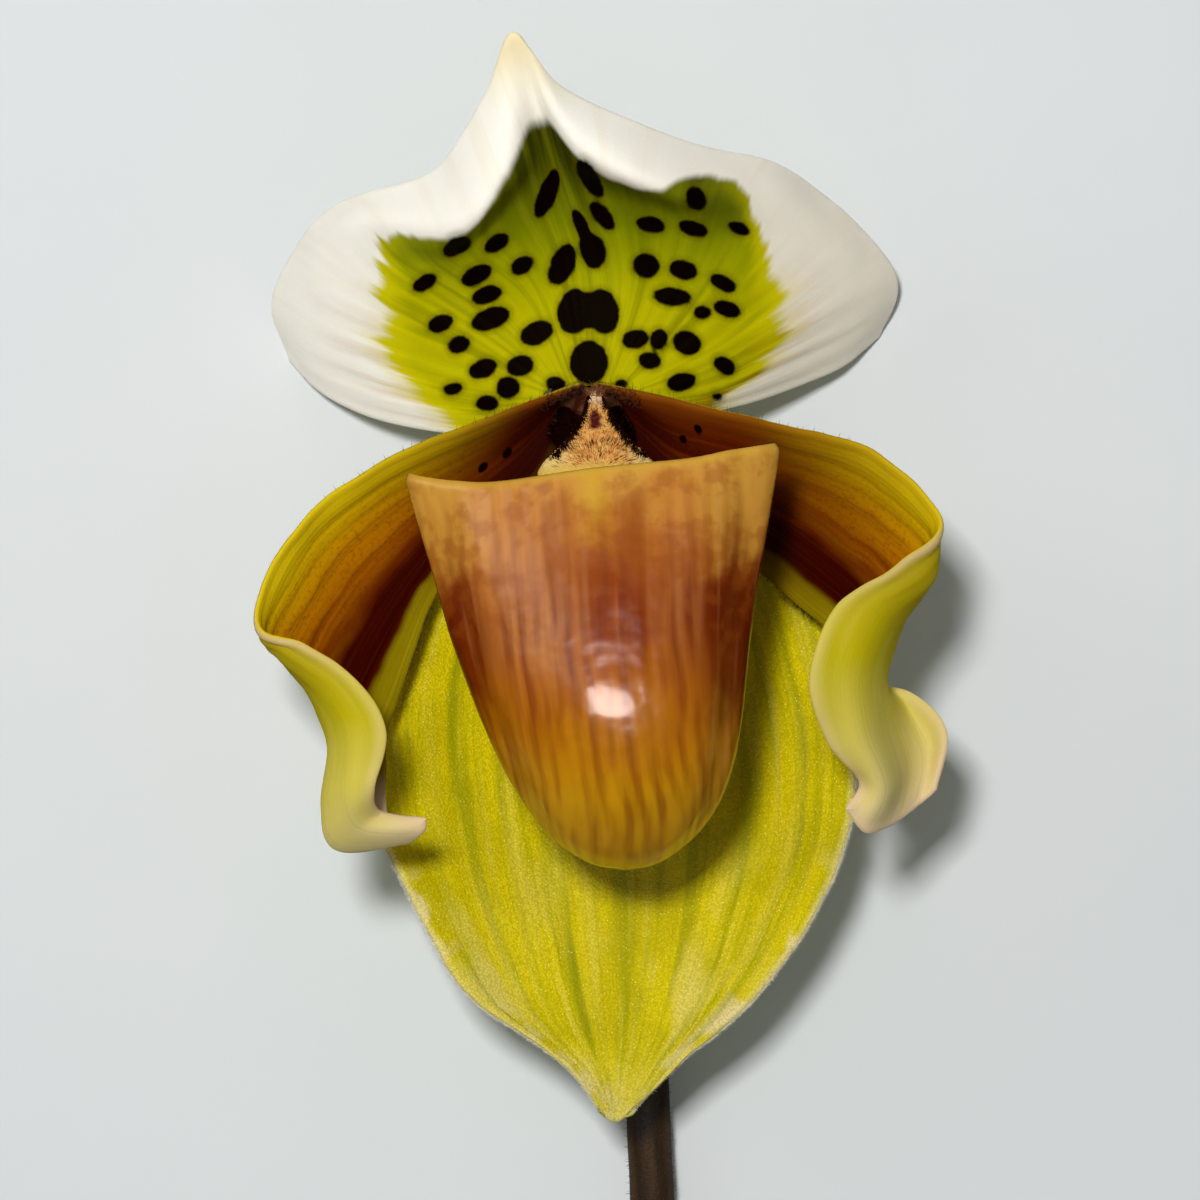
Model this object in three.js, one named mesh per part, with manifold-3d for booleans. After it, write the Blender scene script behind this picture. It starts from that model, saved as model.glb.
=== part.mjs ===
// A slipper orchid (Paphiopedilum): one open bloom on its cut scape, laid on its back.
// Millimetres, +Z up. The scape runs along -Y, the dorsal sepal points along +Y and the
// flower faces up. The origin lies on the resting surface, under the middle of the bloom.
//
// Every organ is placed from the flower's centre, the middle of the receptacle's front face:
// x to the flower's right as it is looked at, y towards the dorsal sepal, z towards the viewer.

import * as THREE from "three";
import { mergeVertices } from "three/addons/utils/BufferGeometryUtils.js";
import Module from "manifold-3d";

const FLOWER_CENTRE = new THREE.Vector3(-1.3, 50, 16);
const SURFACE = -FLOWER_CENTRE.z;

const SEPAL_THICKNESS = 0.8;
const PETAL_THICKNESS = 0.8;
const BRACT_THICKNESS = 0.7;
const POUCH_WALL = 1.0;
const SEAT_GAP = 0.3;

const RECEPTACLE_RADIUS = 4;
const RECEPTACLE_FACE = -0.3;
const SCAPE_RADIUS = 2.3;
const SCAPE_END = -135;
const BRACT_BASE = -36;
const OVARY_END = BRACT_BASE - 1;

// Control nets. Each row is a line across the organ, and the rows run from its base to its
// tip. The surface passes smoothly through every point.

// Columns run from the left lower margin, over the apex, to the right lower margin. The
// margin is rolled: the face rises to a crest and the free edge bends back behind it. Both
// side lobes are reflexed down to the resting surface.
const DORSAL_SEPAL = [
  [[-4.9, -0.9, -0.6], [-4.6, 0.8, 0.3], [-3.4, 1.5, 0.45], [-2.2, 1.6, 0.45], [-1.1, 1.7, 0.45],
    [0, 1.7, 0.45], [1.1, 1.7, 0.45], [2.2, 1.6, 0.45], [3.4, 1.5, 0.45], [4.6, 0.8, 0.3],
    [4.9, -0.9, -0.6]],
  [[-12, -3, -4.5], [-12.5, 2.5, -1.5], [-10.5, 7.5, 1.5], [-7, 10.5, 3.5], [-4, 12.5, 4],
    [-0.8, 13, 3.6], [3, 12.5, 4], [6.5, 11, 3.5], [10, 8, 1.5], [12, 3, -1.5],
    [11.8, -0.9, -4.5]],
  [[-20, -1.8, -9], [-21.5, 5.5, -4.5], [-18.5, 12.5, 2], [-12.5, 14.5, 7.5], [-7.5, 19, 9.5],
    [-3.3, 21.5, 8], [1, 20, 9.5], [8, 18, 8.5], [15, 14.5, 3], [20.5, 7.5, -4],
    [18.8, 1.2, -9]],
  [[-26.5, 0.8, -13], [-28.5, 8.5, -9], [-23.5, 17, 1], [-13, 16.8, 12.5], [-8.2, 22, 15.5],
    [-5.2, 28, 14], [-0.8, 24, 15.5], [7.5, 20.4, 14], [18, 19.5, 4], [27, 11.5, -7.5],
    [25.5, 4.1, -13]],
  [[-31, 4.8, -16], [-32.5, 11.5, -14], [-26.5, 19.5, -5], [-15.5, 22.6, 7], [-10.4, 29, 13.5],
    [-7.4, 35, 17.5], [-2.7, 30, 14.5], [9, 25.4, 8], [20.5, 23, -2], [31, 14, -12],
    [29.8, 7.4, -16]],
];

// Columns run from the left margin to the right margin.
const SYNSEPAL = [
  [[-4.1, -1.9, -1.3], [-2.4, -3.8, -1.3], [0, -4.5, -1.3], [2.4, -3.8, -1.3], [4.1, -1.9, -1.3]],
  [[-16, -13, -3.4], [-7.6, -15, -4.6], [0.6, -16, -5.2], [9.9, -15, -4.6], [19.6, -13, -3.4]],
  [[-22.5, -27.6, 0.4], [-11, -29.4, -3.2], [1.6, -30, -4.8], [14, -29.4, -3.2],
    [25.5, -27.6, 0.6]],
  [[-21.4, -41, 3.2], [-10.4, -42.5, -0.8], [2.6, -43, -2.5], [15, -42.5, -0.8], [26, -41, 3.5]],
  [[-16.8, -51, 4.5], [-8, -53, 1.2], [3, -54, 0], [13, -53, 1.2], [22.2, -51, 4.5]],
  [[-12.1, -58.9, 4.5], [-5, -61, 2.5], [3, -62, 1.6], [9.8, -61.2, 2.5], [15.8, -59.8, 4.5]],
  [[-3, -65.6, 3.6], [-0.2, -67, 2.8], [2.7, -67.6, 2.2], [6.2, -67, 2.8], [9.2, -65.6, 3.6]],
  [[1.1, -70.7, 2.4], [1.7, -71.5, 2.2], [2.5, -71.8, 2.1], [3.3, -71.5, 2.2], [4, -70.7, 2.4]],
];

// Columns run from the lower margin to the upper margin. Past the bend, the upper margin is
// rolled forward and over, so that the blade's back turns towards the viewer.
const LEFT_PETAL = [
  [[-2.5, -3.1, 0.4], [-3.2, -2, 0.4], [-3.5, -0.8, 0.5], [-2.8, 0.8, 1.4], [-0.7, 1.8, 1.7]],
  [[-6.2, -10, 0.8], [-7.4, -7.5, 0.8], [-8, -5, 1.2], [-7.2, -2.2, 2.6], [-5.8, 0, 4]],
  [[-12.5, -15.5, 2], [-13.2, -12, 1.6], [-13.2, -8.5, 2.2], [-12.4, -5, 4], [-11.2, -2.2, 6.2]],
  [[-15.6, -20, 3], [-17.2, -16.5, 2.6], [-18.4, -12.5, 3.6], [-19.4, -8.8, 5.6], [-19.4, -5.6, 8]],
  [[-17.4, -25, 4], [-20.5, -21.5, 4.2], [-23.8, -18, 6], [-26.5, -14.8, 8.6], [-28.2, -12, 11.2]],
  [[-19, -29.8, 5], [-23.5, -27, 6.2], [-27.8, -24.8, 9], [-31, -23, 12.5], [-32.5, -21.6, 15.5]],
  [[-19.8, -32, 6], [-24.4, -29.7, 7.5], [-28, -27, 11], [-29.9, -25, 16], [-27.2, -24.3, 19.5]],
  [[-20, -34, 8], [-24.2, -32.5, 9.5], [-26.3, -30.4, 14], [-25.6, -28.4, 19.5],
    [-22.2, -27.6, 22]],
  [[-20, -36.5, 9.5], [-23.8, -36, 11], [-25, -34, 15.5], [-23.2, -32.4, 20.5], [-19.4, -32.4, 22]],
  [[-20, -39, 10.5], [-23.6, -40, 11.8], [-25.6, -39.8, 15.5], [-23.4, -38.6, 19.8],
    [-20.6, -38, 20.6]],
  [[-19.5, -41.3, 11.5], [-21.8, -43.4, 12.3], [-24.3, -43.8, 14.8], [-22, -41.8, 17.8],
    [-20, -40.2, 17]],
  [[-17.8, -42, 12.6], [-17.4, -42.8, 13.6], [-17, -42.9, 15.2], [-15.9, -42, 16.8],
    [-15.7, -40.8, 17.6]],
];
const RIGHT_PETAL = [
  [[2.5, -3.1, 0.4], [3.2, -2, 0.4], [3.5, -0.8, 0.5], [2.8, 0.8, 1.4], [0.7, 1.8, 1.7]],
  [[6.2, -9.7, 0.8], [7.5, -7.1, 0.8], [8.2, -4.5, 1.2], [7.5, -2, 2.6], [6.2, 0.7, 4]],
  [[13, -14, 2], [13.6, -10.5, 1.6], [13.6, -7, 2.2], [13, -3.8, 4], [12.4, -0.9, 6.2]],
  [[17.4, -17.5, 3], [19, -13.5, 2.6], [19.8, -9.5, 3.6], [20, -6, 5.6], [19.6, -2.7, 8.4]],
  [[20.8, -20.5, 4], [23.2, -16.8, 4.2], [25.4, -13, 6], [27, -9, 8.6], [27.6, -5.1, 11.2]],
  [[23.2, -22.5, 5.2], [26.5, -19.8, 6.4], [29.8, -17, 9.4], [32.6, -14, 12.5], [34, -11.8, 15.5]],
  [[24.2, -24.5, 6.2], [27.4, -22.6, 8], [30.8, -20, 12], [33, -17.4, 16.5], [29.6, -16.4, 20]],
  [[25, -27, 7], [28, -26, 9], [29.6, -23.8, 14], [28, -21.4, 20.5], [23.6, -20.4, 22.5]],
  [[27, -28.6, 6.5], [28.4, -28.4, 10], [28.4, -27.4, 15], [25.8, -26.8, 21], [21, -27.4, 22.5]],
  [[31.6, -28.9, 8.4], [30.8, -30.6, 8.6], [29.2, -31.8, 13], [26.4, -32.6, 19.4],
    [23, -33.8, 19.6]],
  [[34.9, -32.6, 10.2], [33.2, -35, 8.6], [30.6, -36.8, 11], [28.4, -38, 17], [26, -37.2, 16.4]],
  [[34, -38.4, 10], [32, -40.2, 9.6], [29.4, -41.8, 12], [26.6, -42.3, 15.4], [24.8, -40, 17.2]],
];

// The pouch, from its rim down to its toe. Each level is half of a closed loop, from the
// middle of the front, round the right ear or side, to the middle of the back. Its mirror
// image is the other half, and the lean moves each level to the right.
const POUCH_LEVELS = [
  { lean: 0.2, half: [[0, -7.1, 25.2], [9, -7.3, 24], [13.6, -6.9, 22.7], [18.1, -6.4, 19.5],
    [13, -8, 10.5], [6, -8, 5.5], [1.9, -4.2, 0.6], [0, -3.6, 0.1]] },
  { lean: 0.7, half: [[0, -15, 27.6], [9.6, -15, 25.6], [13.7, -15, 22.7], [16.2, -15, 19],
    [12.6, -15, 10], [6.5, -14, 6], [2.4, -12, 4.4], [0, -12, 4.2]] },
  { lean: 1.2, half: [[0, -24, 30.1], [8.7, -24, 27.2], [12.2, -24, 23.7], [14.2, -24, 19.5],
    [11.4, -24, 10.5], [6.3, -23.5, 6.6], [2.6, -23, 5.7], [0, -23, 5.5]] },
  { lean: 2.0, half: [[0, -31, 31], [7.8, -31, 28.1], [10.8, -31, 24.1], [12.6, -31, 19.5],
    [10.3, -31, 11.2], [5.8, -31, 7.9], [2.5, -31, 7], [0, -31, 6.8]] },
  { lean: 2.8, half: [[0, -37.5, 29.2], [6.6, -37.5, 26.5], [9.1, -37.4, 23], [10.5, -37.3, 19],
    [8.6, -37.2, 12.2], [4.9, -37.2, 9.6], [2.2, -37.2, 8.9], [0, -37.2, 8.7]] },
  { lean: 3.2, half: [[0, -42.4, 25.2], [4.5, -42.3, 23.4], [6.4, -42.2, 21], [7.5, -42, 18.3],
    [6, -42, 13.8], [3.6, -41.8, 11.9], [1.6, -41.8, 11.2], [0, -41.8, 11.1]] },
  { lean: 3.4, half: [[0, -45.2, 20.8], [2.2, -45.1, 20], [3.1, -45.1, 19], [3.6, -45, 17.8],
    [2.9, -44.9, 15.8], [1.8, -44.8, 14.9], [0.8, -44.8, 14.5], [0, -44.8, 14.5]] },
];
const POUCH_TOE = [3.4, -45.9, 17.6];
const EAR_RISE = 1.45; // the right ear stands this much higher than if the rim were level
const EAR_RISE_REACH = 13.6; // and the rise is complete this far from the middle
const EAR_RISE_LEVELS = 3; // it fades out over so many levels
const POUCH_TURN = 0.1; // how steeply the front rises to the right, as the pouch is turned
const POUCH_DEPTH = 26; // the turn fades out from the front to the back over this depth

// Round organs: the centre of each section, then its half-width across and its half-depth.
const OVARY = [
  [0, 0, RECEPTACLE_FACE, RECEPTACLE_RADIUS, RECEPTACLE_RADIUS],
  [0, 0, -2.3, RECEPTACLE_RADIUS, RECEPTACLE_RADIUS],
  [0.1, -0.8, -4.6, 3, 3],
  [0.7, -3.4, -8, 3, 3],
  [1.7, -9, -10.6, 3.2, 3.1],
  [3, -17, -11.6, 3.1, 3],
  [4.1, -26.5, -11.8, 2.8, 2.8],
  [4.6, OVARY_END, -11.8, 2.4, 2.4],
];
const SCAPE = [
  [4.6, OVARY_END - SEAT_GAP, -11.8, SCAPE_RADIUS, SCAPE_RADIUS],
  [5.2, -55, -12, SCAPE_RADIUS, SCAPE_RADIUS],
  [6, -74, -12.4, SCAPE_RADIUS, SCAPE_RADIUS],
  [6.8, -94, -12.9, SCAPE_RADIUS, SCAPE_RADIUS],
  [6.6, -115, -13.4, SCAPE_RADIUS, SCAPE_RADIUS],
  [5.4, SCAPE_END, -13.85, SCAPE_RADIUS, SCAPE_RADIUS],
];
const COLUMN = [
  [0, -0.5, RECEPTACLE_FACE + SEAT_GAP, 1.7, 1.5],
  [0, -0.5, 1.4, 1.5, 1.3],
  [0, -1, 3, 1.4, 1.3],
  [0, -1.6, 4.75, 1.5, 1.4],
];
const STIGMA = [
  [0, -3.8, 4.1, 0.9, 0.5],
  [0, -4.4, 4.5, 2, 0.8],
  [0, -5.8, 5.1, 2.5, 0.9],
  [0, -7, 5.6, 1.9, 0.7],
  [0, -7.7, 5.9, 0.7, 0.3],
];
// The right anther. The left one is its mirror image.
const ANTHER = [
  [2.6, -0.6, 3.4, 0.4, 0.4],
  [2.9, -1.5, 3.7, 0.8, 0.75],
  [3.4, -2.7, 4.1, 0.85, 0.8],
  [3.9, -3.6, 4.4, 0.5, 0.5],
];

// The staminode is a shield. Its outline is given by the half-width at each station down it.
const STAMINODE_TOP = [0.5, 0.9, 6.4];
const STAMINODE_TIP = [1.2, -10.2, 10.6];
const STAMINODE_HALF_WIDTHS = [0.6, 1.1, 1.9, 3.1, 4.8, 6.1, 5.3, 2.5];
const STAMINODE_DOME_RADIUS = 19;
const STAMINODE_THICKNESS = 1.6;

// The bract wraps the base of the ovary on the flower's side and is open underneath. For
// each station from its base to its tip: place along the ovary, radius and half of its wrap.
const BRACT = [
  { along: BRACT_BASE, radius: 3.3, wrap: 150 },
  { along: -31.5, radius: 3.6, wrap: 142 },
  { along: -26, radius: 3.95, wrap: 120 },
  { along: -20.5, radius: 4.2, wrap: 85 },
  { along: -16, radius: 4.4, wrap: 42 },
  { along: -13, radius: 4.7, wrap: 8 },
];
const BRACT_COLUMNS = [-1, -0.66, -0.33, 0, 0.33, 0.66, 1];

const wasm = await Module();
wasm.setup();

function smoothCurve(points, closed = false) {
  const vectors = points.map((point) => new THREE.Vector3(point[0], point[1], point[2]));
  return new THREE.CatmullRomCurve3(vectors, closed, "catmullrom", 0.5);
}

// Points of the smooth surface through a control net: steps + 1 along each way.
function surfaceGrid(net, rowSteps, columnSteps) {
  const rowCurves = net.map((row) => smoothCurve(row));
  const columns = [];
  for (let j = 0; j <= columnSteps; j++) {
    const crossing = rowCurves.map((curve) => curve.getPoint(j / columnSteps).toArray());
    columns.push(smoothCurve(crossing).getPoints(rowSteps));
  }
  const rows = [];
  for (let i = 0; i <= rowSteps; i++) rows.push(columns.map((column) => column[i]));
  return rows;
}

// The unit normal at each point of a grid, from its neighbours. A round grid closes on
// itself from its last column to its first.
function gridNormals(grid, round) {
  const lastRow = grid.length - 1;
  const count = grid[0].length;
  return grid.map((row, i) => row.map((point, j) => {
    const above = grid[Math.max(i - 1, 0)][j];
    const below = grid[Math.min(i + 1, lastRow)][j];
    const before = round ? row[(j + count - 1) % count] : row[Math.max(j - 1, 0)];
    const after = round ? row[(j + 1) % count] : row[Math.min(j + 1, count - 1)];
    const down = new THREE.Vector3().subVectors(below, above);
    const across = new THREE.Vector3().subVectors(after, before);
    return new THREE.Vector3().crossVectors(down, across).normalize();
  }));
}

function offsetGrid(grid, normals, distance) {
  return grid.map((row, i) => row.map((point, j) => (
    point.clone().addScaledVector(normals[i][j], distance))));
}

// A closed mesh from triangles given as corner points. Points that coincide become one, and
// a triangle that has shrunk to a line is left out.
function solidFromTriangles(triangles) {
  const soup = new THREE.BufferGeometry();
  const positions = triangles.flat().flatMap((corner) => corner.toArray());
  soup.setAttribute("position", new THREE.Float32BufferAttribute(positions, 3));
  const merged = mergeVertices(soup, 1e-5);
  const kept = [];
  for (let k = 0; k < merged.index.count; k += 3) {
    const [a, b, c] = [0, 1, 2].map((corner) => merged.index.getX(k + corner));
    if (a !== b && b !== c && c !== a) kept.push(a, b, c);
  }
  merged.setIndex(kept);
  return merged;
}

function addQuad(triangles, a, b, c, d) {
  triangles.push([a, b, c], [a, c, d]);
}

// A sheet between a front and a back grid. Both faces are split along the same diagonals,
// so that they never cross where the sheet is waved.
function sheetSolid(front, back, round = false) {
  const triangles = [];
  const lastRow = front.length - 1;
  const count = front[0].length;
  const columnSteps = round ? count : count - 1;
  for (let j = 0; j < columnSteps; j++) {
    const k = (j + 1) % count;
    for (let i = 0; i < lastRow; i++) {
      addQuad(triangles, front[i][j], front[i + 1][j], front[i + 1][k], front[i][k]);
      triangles.push([back[i][j], back[i + 1][k], back[i + 1][j]]);
      triangles.push([back[i][j], back[i][k], back[i + 1][k]]);
    }
    addQuad(triangles, back[0][j], front[0][j], front[0][k], back[0][k]);
    addQuad(triangles, front[lastRow][j], back[lastRow][j], back[lastRow][k], front[lastRow][k]);
  }
  if (!round) {
    for (let i = 0; i < lastRow; i++) {
      const end = count - 1;
      addQuad(triangles, front[i][0], back[i][0], back[i + 1][0], front[i + 1][0]);
      addQuad(triangles, back[i][end], front[i][end], front[i + 1][end], back[i + 1][end]);
    }
  }
  return solidFromTriangles(triangles);
}

function blade(net, rowSteps, columnSteps, thickness) {
  const grid = surfaceGrid(net, rowSteps, columnSteps);
  const normals = gridNormals(grid, false);
  const front = offsetGrid(grid, normals, thickness / 2);
  const back = offsetGrid(grid, normals, -thickness / 2);
  return sheetSolid(front, back);
}

// A round organ: elliptical rings square to its centre line, closed by flat ends.
function loft(sections, lengthSteps, sides) {
  const path = smoothCurve(sections);
  const sizes = smoothCurve(sections.map((section) => [section[3], section[4], 0]));
  const triangles = [];
  const rings = [];
  for (let i = 0; i <= lengthSteps; i++) {
    const centre = path.getPoint(i / lengthSteps);
    const size = sizes.getPoint(i / lengthSteps);
    const tangent = path.getTangent(i / lengthSteps);
    const side = new THREE.Vector3(1, 0, 0).addScaledVector(tangent, -tangent.x).normalize();
    const top = new THREE.Vector3().crossVectors(tangent, side);
    const ring = [];
    for (let j = 0; j < sides; j++) {
      const angle = (2 * Math.PI * j) / sides;
      const point = centre.clone().addScaledVector(side, size.x * Math.cos(angle));
      ring.push(point.addScaledVector(top, size.y * Math.sin(angle)));
    }
    rings.push({ centre, ring });
  }
  const first = rings[0];
  const last = rings[lengthSteps];
  for (let j = 0; j < sides; j++) {
    const k = (j + 1) % sides;
    for (let i = 0; i < lengthSteps; i++) {
      addQuad(triangles, rings[i].ring[j], rings[i].ring[k],
        rings[i + 1].ring[k], rings[i + 1].ring[j]);
    }
    triangles.push([first.centre, first.ring[k], first.ring[j]]);
    triangles.push([last.centre, last.ring[j], last.ring[k]]);
  }
  return solidFromTriangles(triangles);
}

function toManifold(geometry) {
  return new wasm.Manifold(new wasm.Mesh({
    numProp: 3,
    vertProperties: new Float32Array(geometry.attributes.position.array),
    triVerts: new Uint32Array(geometry.index.array),
  }));
}

// The resting surface presses the lowest points of an organ flat.
function restOnSurface(geometry) {
  const depth = 10;
  const slab = new THREE.BoxGeometry(400, 400, depth);
  slab.deleteAttribute("normal");
  slab.deleteAttribute("uv");
  slab.translate(0, 0, SURFACE - depth / 2);
  const cut = toManifold(geometry).subtract(toManifold(mergeVertices(slab))).getMesh();
  const rested = new THREE.BufferGeometry();
  rested.setAttribute("position", new THREE.BufferAttribute(cut.vertProperties, 3));
  rested.setIndex(new THREE.BufferAttribute(cut.triVerts, 1));
  return rested;
}

// The closed loop of one level of the pouch, clockwise as seen from the dorsal sepal.
function pouchLoop(level, index) {
  const fade = Math.max(0, 1 - index / EAR_RISE_LEVELS);
  const rightSide = level.half.map(([x, y, z]) => [x, y, z]);
  const leftSide = level.half.slice(1, -1).reverse().map(([x, y, z]) => [-x, y, z]);
  return rightSide.concat(leftSide).map(([x, y, z]) => {
    const share = THREE.MathUtils.smoothstep(Math.abs(x), 0, EAR_RISE_REACH);
    return [
      x + level.lean,
      y + EAR_RISE * fade * share * Math.sign(x),
      z * (1 + (POUCH_TURN * x) / POUCH_DEPTH),
    ];
  });
}

function pouchGrid(rowSteps, columns) {
  const loops = POUCH_LEVELS.map((level, index) => smoothCurve(pouchLoop(level, index), true));
  const lines = [];
  for (let j = 0; j < columns; j++) {
    const crossing = loops.map((loop) => loop.getPoint(j / columns).toArray());
    lines.push(smoothCurve([...crossing, POUCH_TOE]).getPoints(rowSteps));
  }
  const rows = [];
  for (let i = 0; i <= rowSteps; i++) rows.push(lines.map((line) => line[i]));
  return rows;
}

// A bag of even wall, open at its rim and closed at its toe.
function pouch() {
  const outer = pouchGrid(17, 30);
  const normals = gridNormals(outer, true);
  const toe = new THREE.Vector3(0, -1, 0);
  normals[normals.length - 1] = normals[normals.length - 1].map(() => toe);
  const inner = offsetGrid(outer, normals, -POUCH_WALL);
  return sheetSolid(outer, inner, true);
}

function staminode() {
  const top = new THREE.Vector3(...STAMINODE_TOP);
  const tip = new THREE.Vector3(...STAMINODE_TIP);
  const stations = STAMINODE_HALF_WIDTHS.length - 1;
  const facing = new THREE.Vector3(0, tip.z - top.z, top.y - tip.y).normalize();
  const net = STAMINODE_HALF_WIDTHS.map((halfWidth, i) => {
    const middle = top.clone().lerp(tip, i / stations);
    return [-1, -0.5, 0, 0.5, 1].map((across) => {
      const aside = halfWidth * across;
      const point = middle.clone();
      point.addScaledVector(facing, -(aside * aside) / (2 * STAMINODE_DOME_RADIUS));
      point.x += aside;
      return point.toArray();
    });
  });
  return blade(net, 10, 8, STAMINODE_THICKNESS);
}

function bract() {
  const ovaryLine = smoothCurve(OVARY).getPoints(200);
  const net = BRACT.map(({ along, radius, wrap }) => {
    const centre = ovaryLine.find((point) => point.y <= along) ?? ovaryLine.at(-1);
    return BRACT_COLUMNS.map((share) => {
      const angle = THREE.MathUtils.degToRad(share * wrap);
      const x = centre.x + radius * Math.sin(angle);
      return [x, along, centre.z + radius * Math.cos(angle)];
    });
  });
  return blade(net, 10, 14, BRACT_THICKNESS);
}

function anther(side) {
  return loft(ANTHER.map(([x, ...rest]) => [side * x, ...rest]), 6, 10);
}

const ORGANS = [
  ["dorsal_sepal", restOnSurface(blade(DORSAL_SEPAL, 16, 36, SEPAL_THICKNESS)), 0xb9bf6a, 0.55],
  ["synsepal", blade(SYNSEPAL, 16, 12, SEPAL_THICKNESS), 0xa9ad20, 0.5],
  ["petal_left", blade(LEFT_PETAL, 24, 10, PETAL_THICKNESS), 0xa87a1e, 0.45],
  ["petal_right", blade(RIGHT_PETAL, 26, 10, PETAL_THICKNESS), 0xa87a1e, 0.45],
  ["pouch", pouch(), 0xa85a1e, 0.3],
  ["column", loft(COLUMN, 6, 14), 0x6a2f1c, 0.5],
  ["staminode", staminode(), 0xc98a3a, 0.4],
  ["anther_left", anther(-1), 0x4a1c12, 0.5],
  ["anther_right", anther(1), 0x4a1c12, 0.5],
  ["stigma", loft(STIGMA, 8, 12), 0xb9b56a, 0.5],
  ["ovary", loft(OVARY, 20, 16), 0x6b6a2a, 0.6],
  ["bract", bract(), 0x7c8a2c, 0.55],
  ["scape", restOnSurface(loft(SCAPE, 20, 12)), 0x4a2420, 0.65],
];

const flower = new THREE.Group();
flower.position.copy(FLOWER_CENTRE);
for (const [name, geometry, color, roughness] of ORGANS) {
  geometry.computeVertexNormals();
  const material = new THREE.MeshStandardMaterial({ color, roughness, metalness: 0 });
  const organ = new THREE.Mesh(geometry, material);
  organ.name = name;
  flower.add(organ);
}

const orchid = new THREE.Group();
orchid.add(flower);
export default orchid;
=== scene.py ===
"""The looks of one slipper orchid bloom on its cut scape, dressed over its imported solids.

Lengths are millimetres in the flower's own frame, as in the part's source: x to the right of
the flower as it is looked at, y towards the dorsal sepal and z towards the viewer, from the
middle of the receptacle's face. make_object turns them into metres in the part's frame.
"""

import math
from collections import namedtuple

import bpy
import numpy as np
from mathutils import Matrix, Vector, noise


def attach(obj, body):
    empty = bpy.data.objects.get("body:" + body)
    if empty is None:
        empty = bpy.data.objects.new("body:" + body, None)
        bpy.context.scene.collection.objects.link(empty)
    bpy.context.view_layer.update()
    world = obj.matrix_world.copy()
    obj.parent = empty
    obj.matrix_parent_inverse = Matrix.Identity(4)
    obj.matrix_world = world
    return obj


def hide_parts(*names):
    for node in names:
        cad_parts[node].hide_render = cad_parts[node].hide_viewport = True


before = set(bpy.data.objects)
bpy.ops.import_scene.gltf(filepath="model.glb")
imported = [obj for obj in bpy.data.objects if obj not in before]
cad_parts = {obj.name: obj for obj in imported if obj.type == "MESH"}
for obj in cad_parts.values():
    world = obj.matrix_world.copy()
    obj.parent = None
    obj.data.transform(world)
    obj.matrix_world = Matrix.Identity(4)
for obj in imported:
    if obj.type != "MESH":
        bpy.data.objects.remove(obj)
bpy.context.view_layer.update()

MILLIMETRE = 0.001
FLOWER_CENTRE = np.array([-1.3, 50, 16])
RESTING_SURFACE = -FLOWER_CENTRE[2]
BODY = "root"

SEPAL_THICKNESS = 0.8
PETAL_THICKNESS = 0.8
BRACT_THICKNESS = 0.7
POUCH_WALL = 1.0
SEAT_GAP = 0.3

RECEPTACLE_RADIUS = 4
RECEPTACLE_FACE = -0.3
SCAPE_RADIUS = 2.3
SCAPE_END = -135
BRACT_BASE = -36
OVARY_END = BRACT_BASE - 1

# Control nets, as in the part's source. Each row is a line across the organ, and the rows
# run from its base to its tip. The surface passes smoothly through every point.

# Columns run from the left lower margin, over the apex, to the right lower margin.
DORSAL_SEPAL = [
    [[-4.9, -0.9, -0.6], [-4.6, 0.8, 0.3], [-3.4, 1.5, 0.45], [-2.2, 1.6, 0.45], [-1.1, 1.7, 0.45],
     [0, 1.7, 0.45], [1.1, 1.7, 0.45], [2.2, 1.6, 0.45], [3.4, 1.5, 0.45], [4.6, 0.8, 0.3],
     [4.9, -0.9, -0.6]],
    [[-12, -3, -4.5], [-12.5, 2.5, -1.5], [-10.5, 7.5, 1.5], [-7, 10.5, 3.5], [-4, 12.5, 4],
     [-0.8, 13, 3.6], [3, 12.5, 4], [6.5, 11, 3.5], [10, 8, 1.5], [12, 3, -1.5],
     [11.8, -0.9, -4.5]],
    [[-20, -1.8, -9], [-21.5, 5.5, -4.5], [-18.5, 12.5, 2], [-12.5, 14.5, 7.5], [-7.5, 19, 9.5],
     [-3.3, 21.5, 8], [1, 20, 9.5], [8, 18, 8.5], [15, 14.5, 3], [20.5, 7.5, -4],
     [18.8, 1.2, -9]],
    [[-26.5, 0.8, -13], [-28.5, 8.5, -9], [-23.5, 17, 1], [-13, 16.8, 12.5], [-8.2, 22, 15.5],
     [-5.2, 28, 14], [-0.8, 24, 15.5], [7.5, 20.4, 14], [18, 19.5, 4], [27, 11.5, -7.5],
     [25.5, 4.1, -13]],
    [[-31, 4.8, -16], [-32.5, 11.5, -14], [-26.5, 19.5, -5], [-15.5, 22.6, 7], [-10.4, 29, 13.5],
     [-7.4, 35, 17.5], [-2.7, 30, 14.5], [9, 25.4, 8], [20.5, 23, -2], [31, 14, -12],
     [29.8, 7.4, -16]],
]

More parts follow.
